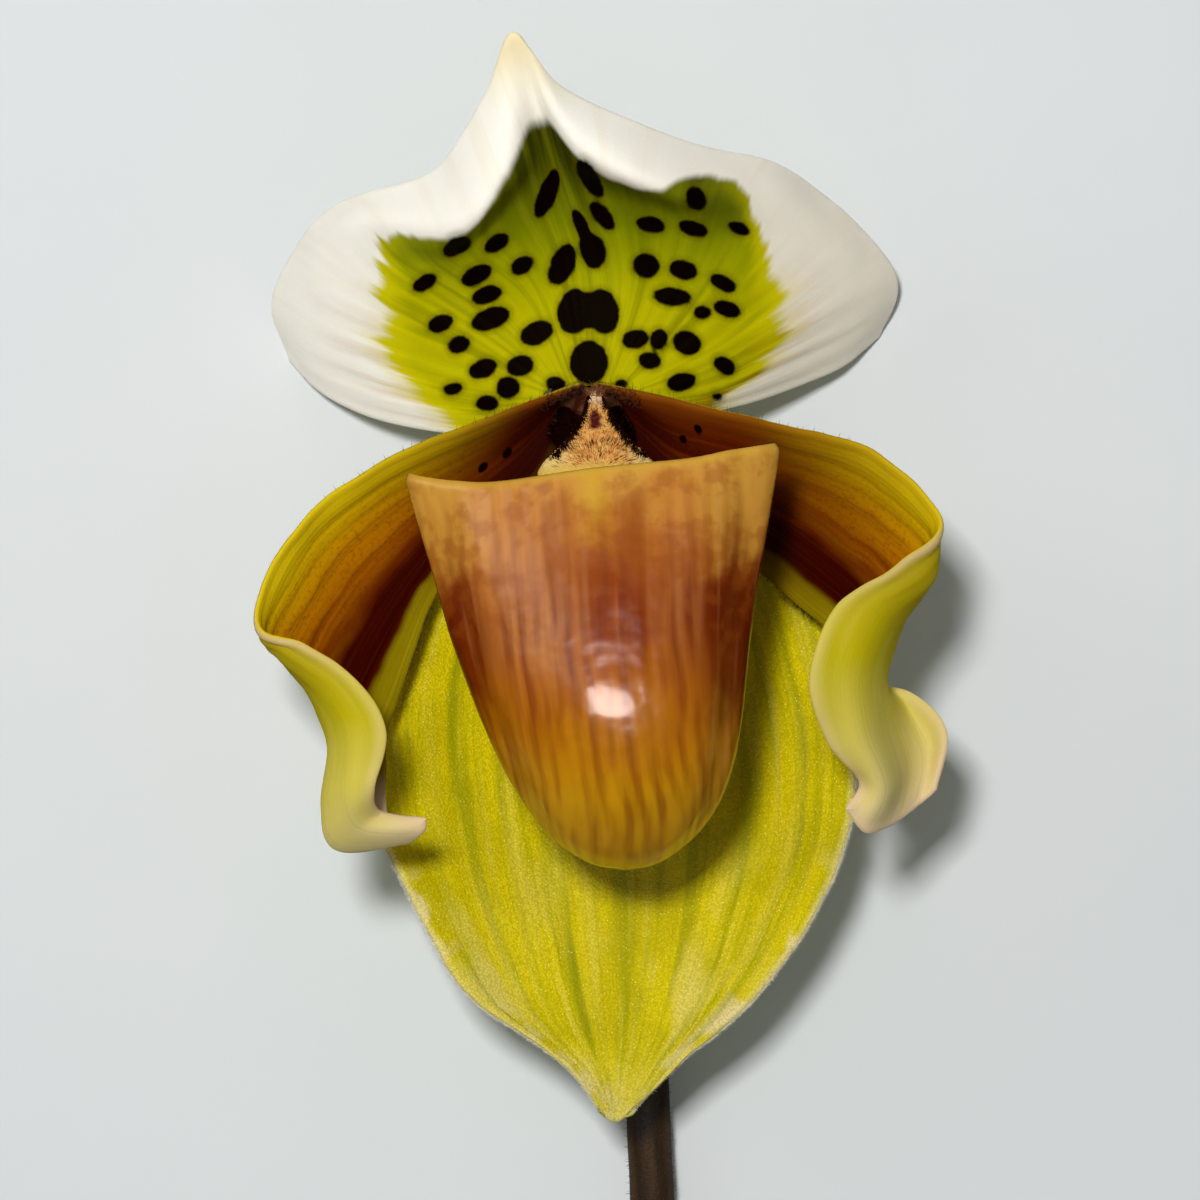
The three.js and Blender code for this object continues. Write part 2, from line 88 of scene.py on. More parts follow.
# Columns run from the left margin to the right margin.
SYNSEPAL = [
    [[-4.1, -1.9, -1.3], [-2.4, -3.8, -1.3], [0, -4.5, -1.3], [2.4, -3.8, -1.3], [4.1, -1.9, -1.3]],
    [[-16, -13, -3.4], [-7.6, -15, -4.6], [0.6, -16, -5.2], [9.9, -15, -4.6], [19.6, -13, -3.4]],
    [[-22.5, -27.6, 0.4], [-11, -29.4, -3.2], [1.6, -30, -4.8], [14, -29.4, -3.2],
     [25.5, -27.6, 0.6]],
    [[-21.4, -41, 3.2], [-10.4, -42.5, -0.8], [2.6, -43, -2.5], [15, -42.5, -0.8], [26, -41, 3.5]],
    [[-16.8, -51, 4.5], [-8, -53, 1.2], [3, -54, 0], [13, -53, 1.2], [22.2, -51, 4.5]],
    [[-12.1, -58.9, 4.5], [-5, -61, 2.5], [3, -62, 1.6], [9.8, -61.2, 2.5], [15.8, -59.8, 4.5]],
    [[-3, -65.6, 3.6], [-0.2, -67, 2.8], [2.7, -67.6, 2.2], [6.2, -67, 2.8], [9.2, -65.6, 3.6]],
    [[1.1, -70.7, 2.4], [1.7, -71.5, 2.2], [2.5, -71.8, 2.1], [3.3, -71.5, 2.2], [4, -70.7, 2.4]],
]

# Columns run from the lower margin to the upper margin.
LEFT_PETAL = [
    [[-2.5, -3.1, 0.4], [-3.2, -2, 0.4], [-3.5, -0.8, 0.5], [-2.8, 0.8, 1.4], [-0.7, 1.8, 1.7]],
    [[-6.2, -10, 0.8], [-7.4, -7.5, 0.8], [-8, -5, 1.2], [-7.2, -2.2, 2.6], [-5.8, 0, 4]],
    [[-12.5, -15.5, 2], [-13.2, -12, 1.6], [-13.2, -8.5, 2.2], [-12.4, -5, 4], [-11.2, -2.2, 6.2]],
    [[-15.6, -20, 3], [-17.2, -16.5, 2.6], [-18.4, -12.5, 3.6], [-19.4, -8.8, 5.6], [-19.4, -5.6, 8]],
    [[-17.4, -25, 4], [-20.5, -21.5, 4.2], [-23.8, -18, 6], [-26.5, -14.8, 8.6], [-28.2, -12, 11.2]],
    [[-19, -29.8, 5], [-23.5, -27, 6.2], [-27.8, -24.8, 9], [-31, -23, 12.5], [-32.5, -21.6, 15.5]],
    [[-19.8, -32, 6], [-24.4, -29.7, 7.5], [-28, -27, 11], [-29.9, -25, 16], [-27.2, -24.3, 19.5]],
    [[-20, -34, 8], [-24.2, -32.5, 9.5], [-26.3, -30.4, 14], [-25.6, -28.4, 19.5],
     [-22.2, -27.6, 22]],
    [[-20, -36.5, 9.5], [-23.8, -36, 11], [-25, -34, 15.5], [-23.2, -32.4, 20.5], [-19.4, -32.4, 22]],
    [[-20, -39, 10.5], [-23.6, -40, 11.8], [-25.6, -39.8, 15.5], [-23.4, -38.6, 19.8],
     [-20.6, -38, 20.6]],
    [[-19.5, -41.3, 11.5], [-21.8, -43.4, 12.3], [-24.3, -43.8, 14.8], [-22, -41.8, 17.8],
     [-20, -40.2, 17]],
    [[-17.8, -42, 12.6], [-17.4, -42.8, 13.6], [-17, -42.9, 15.2], [-15.9, -42, 16.8],
     [-15.7, -40.8, 17.6]],
]
RIGHT_PETAL = [
    [[2.5, -3.1, 0.4], [3.2, -2, 0.4], [3.5, -0.8, 0.5], [2.8, 0.8, 1.4], [0.7, 1.8, 1.7]],
    [[6.2, -9.7, 0.8], [7.5, -7.1, 0.8], [8.2, -4.5, 1.2], [7.5, -2, 2.6], [6.2, 0.7, 4]],
    [[13, -14, 2], [13.6, -10.5, 1.6], [13.6, -7, 2.2], [13, -3.8, 4], [12.4, -0.9, 6.2]],
    [[17.4, -17.5, 3], [19, -13.5, 2.6], [19.8, -9.5, 3.6], [20, -6, 5.6], [19.6, -2.7, 8.4]],
    [[20.8, -20.5, 4], [23.2, -16.8, 4.2], [25.4, -13, 6], [27, -9, 8.6], [27.6, -5.1, 11.2]],
    [[23.2, -22.5, 5.2], [26.5, -19.8, 6.4], [29.8, -17, 9.4], [32.6, -14, 12.5], [34, -11.8, 15.5]],
    [[24.2, -24.5, 6.2], [27.4, -22.6, 8], [30.8, -20, 12], [33, -17.4, 16.5], [29.6, -16.4, 20]],
    [[25, -27, 7], [28, -26, 9], [29.6, -23.8, 14], [28, -21.4, 20.5], [23.6, -20.4, 22.5]],
    [[27, -28.6, 6.5], [28.4, -28.4, 10], [28.4, -27.4, 15], [25.8, -26.8, 21], [21, -27.4, 22.5]],
    [[31.6, -28.9, 8.4], [30.8, -30.6, 8.6], [29.2, -31.8, 13], [26.4, -32.6, 19.4],
     [23, -33.8, 19.6]],
    [[34.9, -32.6, 10.2], [33.2, -35, 8.6], [30.6, -36.8, 11], [28.4, -38, 17], [26, -37.2, 16.4]],
    [[34, -38.4, 10], [32, -40.2, 9.6], [29.4, -41.8, 12], [26.6, -42.3, 15.4], [24.8, -40, 17.2]],
]

# The pouch, from its rim down to its toe: how far each level leans to the right, and half of
# its closed loop, from the middle of the front, round the right side, to the back.
POUCH_LEVELS = [
    (0.2, [[0, -7.1, 25.2], [9, -7.3, 24], [13.6, -6.9, 22.7], [18.1, -6.4, 19.5],
     [13, -8, 10.5], [6, -8, 5.5], [1.9, -4.2, 0.6], [0, -3.6, 0.1]]),
    (0.7, [[0, -15, 27.6], [9.6, -15, 25.6], [13.7, -15, 22.7], [16.2, -15, 19],
     [12.6, -15, 10], [6.5, -14, 6], [2.4, -12, 4.4], [0, -12, 4.2]]),
    (1.2, [[0, -24, 30.1], [8.7, -24, 27.2], [12.2, -24, 23.7], [14.2, -24, 19.5],
     [11.4, -24, 10.5], [6.3, -23.5, 6.6], [2.6, -23, 5.7], [0, -23, 5.5]]),
    (2.0, [[0, -31, 31], [7.8, -31, 28.1], [10.8, -31, 24.1], [12.6, -31, 19.5],
     [10.3, -31, 11.2], [5.8, -31, 7.9], [2.5, -31, 7], [0, -31, 6.8]]),
    (2.8, [[0, -37.5, 29.2], [6.6, -37.5, 26.5], [9.1, -37.4, 23], [10.5, -37.3, 19],
     [8.6, -37.2, 12.2], [4.9, -37.2, 9.6], [2.2, -37.2, 8.9], [0, -37.2, 8.7]]),
    (3.2, [[0, -42.4, 25.2], [4.5, -42.3, 23.4], [6.4, -42.2, 21], [7.5, -42, 18.3],
     [6, -42, 13.8], [3.6, -41.8, 11.9], [1.6, -41.8, 11.2], [0, -41.8, 11.1]]),
    (3.4, [[0, -45.2, 20.8], [2.2, -45.1, 20], [3.1, -45.1, 19], [3.6, -45, 17.8],
     [2.9, -44.9, 15.8], [1.8, -44.8, 14.9], [0.8, -44.8, 14.5], [0, -44.8, 14.5]]),
]
POUCH_TOE = [3.4, -45.9, 17.6]
EAR_RISE = 1.45
EAR_RISE_REACH = 13.6
EAR_RISE_LEVELS = 3
VEIN_SPACING = 1.75
POUCH_TURN = 0.1
POUCH_DEPTH = 26

# Round organs: the centre of each section, then its half-width across and its half-depth.
OVARY = [
    [0, 0, RECEPTACLE_FACE, RECEPTACLE_RADIUS, RECEPTACLE_RADIUS],
    [0, 0, -2.3, RECEPTACLE_RADIUS, RECEPTACLE_RADIUS],
    [0.1, -0.8, -4.6, 3, 3],
    [0.7, -3.4, -8, 3, 3],
    [1.7, -9, -10.6, 3.2, 3.1],
    [3, -17, -11.6, 3.1, 3],
    [4.1, -26.5, -11.8, 2.8, 2.8],
    [4.6, OVARY_END, -11.8, 2.4, 2.4],
]
SCAPE = [
    [4.6, OVARY_END - SEAT_GAP, -11.8, SCAPE_RADIUS, SCAPE_RADIUS],
    [5.2, -55, -12, SCAPE_RADIUS, SCAPE_RADIUS],
    [6, -74, -12.4, SCAPE_RADIUS, SCAPE_RADIUS],
    [6.8, -94, -12.9, SCAPE_RADIUS, SCAPE_RADIUS],
    [6.6, -115, -13.4, SCAPE_RADIUS, SCAPE_RADIUS],
    [5.4, SCAPE_END, -13.85, SCAPE_RADIUS, SCAPE_RADIUS],
]
COLUMN = [
    [0, -0.5, RECEPTACLE_FACE + SEAT_GAP, 1.7, 1.5],
    [0, -0.5, 1.4, 1.5, 1.3],
    [0, -1, 3, 1.4, 1.3],
    [0, -1.6, 4.75, 1.5, 1.4],
]
STIGMA = [
    [0, -3.8, 4.1, 0.9, 0.5],
    [0, -4.4, 4.5, 2, 0.8],
    [0, -5.8, 5.1, 2.5, 0.9],
    [0, -7, 5.6, 1.9, 0.7],
    [0, -7.7, 5.9, 0.7, 0.3],
]
ANTHER = [
    [2.6, -0.6, 3.4, 0.4, 0.4],
    [2.9, -1.5, 3.7, 0.8, 0.75],
    [3.4, -2.7, 4.1, 0.85, 0.8],
    [3.9, -3.6, 4.4, 0.5, 0.5],
]

STAMINODE_TOP = [0.5, 0.9, 6.4]
STAMINODE_TIP = [1.2, -10.2, 10.6]
STAMINODE_HALF_WIDTHS = [0.6, 1.1, 1.9, 3.1, 4.8, 6.1, 5.3, 2.5]
STAMINODE_DOME_RADIUS = 19
STAMINODE_THICKNESS = 1.6

# The bract's place along the ovary, its radius and half of its wrap, from base to tip.
BRACT = [
    (BRACT_BASE, 3.3, 150),
    (-31.5, 3.6, 142),
    (-26, 3.95, 120),
    (-20.5, 4.2, 85),
    (-16, 4.4, 42),
    (-13, 4.7, 8),
]
BRACT_COLUMNS = [-1, -0.66, -0.33, 0, 0.33, 0.66, 1]

# The dark spots of the dorsal sepal: x and y of the middle, length, width, and the angle of
# the length from the x axis in degrees.
DORSAL_SPOTS = [
    (-1.6, 9.0, 4.5, 3.4, 80), (1.3, 9.0, 4.5, 3.2, 100), (-0.2, 9.1, 3.6, 4.0, 90),
    (-0.1, 4.0, 4.3, 3.9, 90),
    (-2.8, 13.6, 4.3, 2.5, 65), (0.3, 15.0, 3.7, 2.7, 110), (-0.8, 17.4, 3.4, 1.5, 115),
    (-4.3, 20.4, 5.2, 1.9, 65), (-9.8, 8.4, 4.0, 2.2, 20), (-5.3, 6.9, 3.4, 2.3, 25),
    (-10.2, 10.7, 3.0, 1.8, 20), (-11.2, 12.6, 3.1, 1.8, 25), (-6.8, 13.5, 2.4, 1.7, 30),
    (-9.3, 15.6, 2.7, 1.6, 30), (-13.1, 15.2, 2.8, 1.4, 25), (-16.3, 12.0, 2.7, 1.5, 30),
    (-14.8, 8.0, 2.7, 1.7, 20), (-13.0, 5.9, 2.3, 1.7, 20), (-6.9, 3.7, 2.8, 2.1, 15),
    (-10.6, 3.5, 3.0, 1.9, 20), (-13.6, 1.6, 2.0, 1.3, 10), (-8.1, 1.6, 2.4, 2.2, 0),
    (-10.2, 0.1, 2.3, 1.6, 0), (-3.4, 1.8, 2.0, 1.7, 0), (3.1, 1.8, 1.3, 1.2, 0),
    (1.3, 18.3, 3.3, 1.6, 130), (0.2, 21.6, 3.8, 1.6, 125), (6.0, 17.4, 2.9, 1.6, 170),
    (10.1, 17.1, 3.0, 1.5, 165), (10.2, 19.6, 2.2, 1.6, 150), (14.6, 17.2, 2.3, 1.2, 160),
    (5.6, 13.5, 2.8, 2.4, 170), (9.2, 13.1, 2.9, 1.9, 165), (13.1, 11.9, 2.8, 1.5, 155),
    (8.1, 10.5, 3.8, 1.8, 175), (11.1, 9.0, 1.8, 1.3, 180), (13.5, 9.4, 2.9, 1.6, 165),
    (4.5, 6.3, 2.7, 1.9, 10), (6.8, 6.3, 2.1, 1.9, 90), (9.6, 6.0, 2.9, 2.4, 160),
    (5.9, 4.2, 2.3, 1.7, 170), (9.0, 2.2, 3.0, 1.8, 15), (13.3, 3.9, 2.4, 1.6, 150),
    (12.6, 0.9, 1.1, 0.8, 0),
]
PETAL_SPOTS = {
    "petal_left": [(-10.8, -6.4, 1.3, 0.8, 60), (-8.4, -5.0, 1.4, 0.8, 60)],
    "petal_right": [(10.9, -2.7, 1.2, 0.7, 120), (9.4, -3.6, 1.0, 0.6, 120)],
}

STAMINODE_SPOT = [(0.5, -2.35, 2.1, 1.25, 90)]
SPOT_BLEND = 0.25
# How far along each petal its darker base tones reach: partly the petal's own dark base, partly
# painted shade of the hollow base, which reaches further on the right petal.
PETAL_BASE_TONE_AND_SHADE = {"petal_left": (0.08, 0.36), "petal_right": (0.2, 0.5)}
BRISTLE_CENTRE = [0.9, -7.4, 9]
RANDOM = np.random.default_rng(7)

# The two tones of each kind of hair, and its shine where it isn't the usual one.
HAIR_TONES = {
    "petal_hair": ((48, 16, 6), (18, 4, 2)),
    "arch_fuzz": ((132, 72, 38), (62, 24, 12)),
    "tuft_hair": ((40, 10, 8), (12, 2, 1), 0.01),
    "bristle": ((124, 62, 20), (64, 22, 6)),
    "crown_hair": ((176, 112, 70), (104, 54, 30)),
    "down": ((248, 243, 226), (224, 216, 184)),
    "stem_hair": ((120, 84, 60), (60, 30, 20)),
    "ear_hair": ((84, 36, 14), (44, 14, 6)),
}

# The studio: the camera's place from the flower's middle in mm, half of the floor's side in
# metres, and for each light its place from there and its two widths in metres, and its watts.
CAMERA_PLACE = [1, -19.8, 500]
FLOOR_REACH = 2
LIGHTS = [
    ("key", (-0.075, 0.1, 0.62), 0.08, 0.08, 3.2),
    ("gleam", (-0.09, 0, 0.62), 0.22, 0.62, 7.4),
    ("side", (-0.45, 0.2, 0.31), 0.25, 0.25, 0.3),
]


# Curves and surfaces ------------------------------------------------------------------------


def spline(stations, places):
    """Points at places 0 to 1 of the smooth curve through evenly spaced stations."""
    stations = np.asarray(stations, float)
    before = 2 * stations[0] - stations[1]
    after = 2 * stations[-1] - stations[-2]
    knots = np.concatenate([[before], stations, [after]])
    return between_knots(knots, np.clip(places, 0, 1) * (len(stations) - 1))


def closed_spline(stations, places):
    """As spline, but the curve closes from its last station to its first."""
    stations = np.asarray(stations, float)
    knots = np.concatenate([stations[-1:], stations, stations[:2]])
    return between_knots(knots, np.asarray(places) * len(stations))


def between_knots(knots, place):
    left = np.minimum(place.astype(int), len(knots) - 4)
    share = (place - left).reshape(-1, *[1] * (knots.ndim - 1))
    a, b, c, d = (knots[left + step] for step in range(4))
    line = 2 * b + (c - a) * share
    bend = (2 * a - 5 * b + 4 * c - d) * share**2
    return 0.5 * (line + bend + (3 * b - a - 3 * c + d) * share**3)


def surface_grid(net, along, across):
    """Points of the smooth surface through a control net, as rows by columns by 3."""
    rows = spline(np.asarray(net, float), along)
    return spline(rows.transpose(1, 0, 2), across).transpose(1, 0, 2)


def unit(vectors):
    lengths = np.linalg.norm(vectors, axis=-1, keepdims=True)
    return vectors / np.maximum(lengths, 1e-9)


def grid_normals(grid, round_grid=False):
    down = np.gradient(grid, axis=0)
    if round_grid:
        side = np.roll(grid, -1, axis=1) - np.roll(grid, 1, axis=1)
    else:
        side = np.gradient(grid, axis=1)
    return unit(np.cross(down, side))


def finer_at_end(count, share=0.75):
    """Places 0 to 1 whose steps shrink towards 1."""
    even = np.linspace(0, 1, count)
    return (1 - share) * even + share * np.sin(even * math.pi / 2)


def finer_at_both_ends(count, share=0.75):
    even = np.linspace(0, 1, count)
    return even - share * np.sin(2 * math.pi * even) / (2 * math.pi)


def length_from_start(grid, axis):
    """How far each point of a grid lies from its line's first point."""
    steps = np.linalg.norm(np.diff(grid, axis=axis), axis=2)
    start = np.zeros_like(steps.take([0], axis=axis))
    return np.concatenate([start, np.cumsum(steps, axis=axis)], axis=axis)


def smooth_step(low, high, value):
    share = np.clip((value - low) / (high - low), 0, 1)
    return share * share * (3 - 2 * share)


def noise_field(points, size, offset=0.0):
    """Smooth noise of about -1 to 1 at each point, with lumps of the given size."""
    flat = points.reshape(-1, 3) / size + offset
    values = [noise.noise(Vector(point)) for point in flat]
    return np.array(values).reshape(points.shape[:-1])


def spot_distance(grid, spots):
    """How far each point lies from the nearest elliptical spot in the x and y plane, in mm."""
    nearest = np.full(grid.shape[:2], 20.0)
    for x, y, length, width, turn in spots:
        cosine, sine = math.cos(math.radians(turn)), math.sin(math.radians(turn))
        off_x, off_y = grid[..., 0] - x, grid[..., 1] - y
        place = np.stack([off_x * cosine + off_y * sine, off_y * cosine - off_x * sine], -1)
        radii = np.array([length / 2, width / 2])
        reach = np.linalg.norm(place / radii, axis=-1)
        slope = np.linalg.norm(place / radii**2, axis=-1)
        distance = reach * (reach - 1) / np.maximum(slope, 1e-6)
        blend = np.maximum(SPOT_BLEND - np.abs(nearest - distance), 0) / SPOT_BLEND
        nearest = np.minimum(nearest, distance) - blend**2 * SPOT_BLEND / 4
    return nearest


# Meshes -------------------------------------------------------------------------------------


def make_object(name, points, faces):
    """An object from millimetre points in the flower's frame, kept above the resting surface."""
    points = np.array(points, float)
    points[:, 2] = np.maximum(points[:, 2], RESTING_SURFACE)
    mesh = bpy.data.meshes.new(name)
    mesh.from_pydata(((points + FLOWER_CENTRE) * MILLIMETRE).tolist(), [], faces)
    mesh.shade_smooth()
    made = bpy.data.objects.new(name, mesh)
    bpy.context.scene.collection.objects.link(made)
    return made


def add_uv_layer(made, name, coordinates):
    """A UV layer from one coordinate pair for each face corner."""
    layer = made.data.uv_layers.new(name=name)
    layer.data.foreach_set("uv", np.asarray(coordinates, dtype=np.float32).ravel())


def sheet_object(name, front, back, along, across, edge, marks, round_grid=False):
    """A closed sheet between two grids of points.

    UV layer "place" holds the share of the way along and across. UV layer "form" holds the
    side, 1 on the front and 0 on the back, and the distance from the free margin in mm. UV
    layer "marks" holds a length in mm: to the nearest spot, below 0 inside it, or round the
    pouch from the middle of its front.
    """
    rows, columns = front.shape[:2]
    steps = columns if round_grid else columns - 1
    row = np.arange(rows - 1)[:, None]
    step = np.arange(steps)[None, :]

    def corner(row_offset, step_offset, side):
        return np.stack(np.broadcast_arrays(row + row_offset, step + step_offset, side), -1)

    def quads(corners):
        return np.stack(corners, -2).reshape(-1, 4, 3)

    front_faces = quads([corner(0, 0, 0), corner(1, 0, 0), corner(1, 1, 0), corner(0, 1, 0)])
    back_faces = quads([corner(0, 0, 1), corner(0, 1, 1), corner(1, 1, 1), corner(1, 0, 1)])
    base_rim = quads([corner(0, 0, 1), corner(0, 0, 0), corner(0, 1, 0), corner(0, 1, 1)])
    tip_rim = quads([corner(1, 0, 0), corner(1, 0, 1), corner(1, 1, 1), corner(1, 1, 0)])
    parts = [front_faces, back_faces, base_rim[:steps], tip_rim[-steps:]]
    if not round_grid:
        first = quads([corner(0, 0, 0), corner(0, 0, 1), corner(1, 0, 1), corner(1, 0, 0)])
        last = quads([corner(0, 1, 1), corner(0, 1, 0), corner(1, 1, 0), corner(1, 1, 1)])
        parts += [first[::steps], last[steps - 1::steps]]
    corners = np.concatenate(parts)
    at_row, at_step, at_side = corners[..., 0], corners[..., 1], corners[..., 2]
    index = at_side * rows * columns + at_row * columns + at_step % columns

    points = np.concatenate([front.reshape(-1, 3), back.reshape(-1, 3)])
    made = make_object(name, points, index.tolist())
    whole_across = np.append(across, 1.0) if round_grid else across
    place = np.stack([along[at_row], whole_across[at_step]], -1)
    form = np.stack([1.0 - at_side, edge[at_row, at_step % columns]], -1)
    near = marks[at_row, at_step % columns]
    add_uv_layer(made, "place", place)
    add_uv_layer(made, "form", form)
    add_uv_layer(made, "marks", np.stack([near, 0 * near], -1))
    return made


# An organ's front as the hairs on it need it: a grid of points, their normals, and the share
# along of each row and across of each column.
Skin = namedtuple("Skin", "front normals along across")


def rounded_half(edge, thickness):
    """Half of a sheet's thickness, which runs out in a round edge."""
    share = np.clip(edge / thickness, 0, 1)
    thinnest = 0.12
    return 0.5 * thickness * np.maximum(np.sqrt(1 - (1 - share) ** 2), thinnest)[..., None]


def blade(node, slot, material, net, thickness, relief, spots=(), *, rows, columns,
          turned=False):
    """A dressed leaf-like organ with rounded margins.

    relief(along, across, grid, edge) gives the height in mm that the blade is moved by. A
    net whose columns run the other way round is turned, so that its front faces out.
    """
    along = finer_at_end(rows)
    across = finer_at_both_ends(columns)
    if turned:
        across = across[::-1]
    grid = surface_grid(net, along, across)
    from_left = length_from_start(grid, 1)
    from_base = length_from_start(grid, 0)
    edge = np.minimum(from_left, from_left[:, -1:] - from_left)
    edge = np.minimum(edge, from_base[-1:] - from_base)
    moved = relief(along[:, None], across[None, :], grid, edge)
    grid = grid + grid_normals(grid) * moved[..., None]
    normals = grid_normals(grid)
    half = rounded_half(edge, thickness)
    front = grid + normals * half
    marks = spot_distance(grid, spots)
    made = sheet_object(node + "_skin", front, grid - normals * half, along, across, edge, marks)
    dress(made, material, slot, node)
    return Skin(front, normals, along, across)


def loft(node, slot, material, sections, relief, rows, sides):
    """A dressed round organ: rings square to its centre line, closed by flat ends.

    relief(along, angle, grid) gives the height in mm that each point is moved out by. UV
    layer "place" holds the share along, which is -1 and 2 in the middle of the two ends, and
    the share of the way round.
    """
    along = np.linspace(0, 1, rows)
    across = np.arange(sides) / sides
    stations = spline(np.asarray(sections, float), along)
    centres, sizes = stations[:, :3], stations[:, 3:]
    tangents = unit(np.gradient(centres, axis=0))
    side = unit(np.array([1.0, 0, 0]) - tangents * tangents[:, :1])
    top = np.cross(tangents, side)
    angle = across * 2 * math.pi
    out = (side[:, None] * np.cos(angle)[None, :, None] * sizes[:, None, :1]
           + top[:, None] * np.sin(angle)[None, :, None] * sizes[:, None, 1:])
    grid = centres[:, None] + out
    height = relief(along[:, None], angle[None, :], grid)
    grid = grid + unit(out) * height[..., None]

    points = np.concatenate([grid.reshape(-1, 3), centres[:1], centres[-1:]])
    first_middle, last_middle = rows * sides, rows * sides + 1
    faces, place = [], []
    for step in range(sides):
        here, after = step, (step + 1) % sides
        near, far = step / sides, (step + 1) / sides
        for row in range(rows - 1):
            this_ring, next_ring = row * sides, (row + 1) * sides
            faces.append([this_ring + here, this_ring + after, next_ring + after,
                          next_ring + here])
            place += [(along[row], near), (along[row], far), (along[row + 1], far),
                      (along[row + 1], near)]
        last_ring = (rows - 1) * sides
        faces.append([first_middle, after, here])
        place += [(-1, near), (0, far), (0, near)]
        faces.append([last_middle, last_ring + here, last_ring + after])
        place += [(2, near), (1, near), (1, far)]
    made = make_object(node + "_skin", points, faces)
    add_uv_layer(made, "place", place)
    dress(made, material, slot, node)
    return Skin(grid, unit(out), along, across)


def hair_object(name, roots, directions, lengths, radius):
    """Tapered three-sided hairs, closed at both ends, as one object."""
    directions = unit(directions)
    helper = np.where(np.abs(directions[:, :1]) > 0.8, [[0.0, 1, 0]], [[1.0, 0, 0]])
    side = unit(np.cross(directions, helper))
    other = np.cross(directions, side)
    reach = directions * np.asarray(lengths)[:, None]
    middle = roots + reach * 0.5
    sections = ((roots - directions * radius, radius), (middle, radius * 0.7))
    points = []
    for centre, width in sections:
        for turn in range(3):
            angle = 2 * math.pi * turn / 3
            points.append(centre + width * (side * math.cos(angle) + other * math.sin(angle)))
    points.append(roots + reach)
    one_hair = [[2, 1, 0]]
    for turn in range(3):
        after = (turn + 1) % 3
        one_hair.append([turn, after, 3 + after, 3 + turn])
        one_hair.append([3 + turn, 3 + after, 6])
    faces = [[corner + len(points) * hair for corner in face]
             for hair in range(len(roots)) for face in one_hair]
    return make_object(name, np.stack(points, axis=1).reshape(-1, 3), faces)


def between_grid_points(grid, rows, columns):
    """Values of a grid at places given as shares of steps down its rows and columns."""
    top = np.minimum(rows.astype(int), grid.shape[0] - 2)
    left = np.minimum(columns.astype(int), grid.shape[1] - 2)
    down = (rows - top)[:, None]
    aside = (columns - left)[:, None]
    upper = grid[top, left] * (1 - aside) + grid[top, left + 1] * aside
    lower = grid[top + 1, left] * (1 - aside) + grid[top + 1, left + 1] * aside
    return upper * (1 - down) + lower * down


def on_front(skin, along, across):
    """Points and normals on an organ's front at the given shares along and across."""
    rows = np.interp(along, skin.along, np.arange(len(skin.along)))
    order = np.argsort(skin.across)
    columns = np.interp(across, skin.across[order], order)
    points = between_grid_points(skin.front, rows, columns)
    return points, unit(between_grid_points(skin.normals, rows, columns))


def on_margin(skin, along, upper):
    """Points on a blade's margin and the directions that lead straight out of it."""
    margin, just_inside = (1.0, 0.97) if upper else (0.0, 0.03)
    points, _ = on_front(skin, along, np.full(len(along), margin))
    inner, _ = on_front(skin, along, np.full(len(along), just_inside))
    return points, unit(points - inner)


# Materials ----------------------------------------------------------------------------------


class Value:
    """What one output of a node gives over a surface, with the sums that it can be put in."""

    def __init__(self, shader, socket):
        self.shader = shader
        self.socket = socket

    def __add__(self, other):
        return self.shader.math("ADD", self, other)

    def __sub__(self, other):
        return self.shader.math("SUBTRACT", self, other)

    def __rsub__(self, other):
        return self.shader.math("SUBTRACT", other, self)

    def __mul__(self, other):
        return self.shader.math("MULTIPLY", self, other)

    def __abs__(self):
        return self.shader.math("ABSOLUTE", self)

    def wave(self):
        """0 at each whole number and 0.5 half way between two."""
        return self.shader.math("PINGPONG", self, 0.5)

    def step(self, low, high):
        """0 at low, 1 at high and smooth between. Either may be the larger."""
        inputs = {"Value": self, "From Min": low, "From Max": high}
        return self.shader.node("ShaderNodeMapRange", inputs, interpolation_type="SMOOTHSTEP")


def linear_light(colour):
    """A screen colour, 0 to 255, as linear light. A Value stays as it is."""
    if isinstance(colour, Value):
        return colour
    share = np.array(colour) / 255
    light = np.where(share <= 0.04045, share / 12.92, ((share + 0.055) / 1.055) ** 2.4)
    return (*light.tolist(), 1.0)


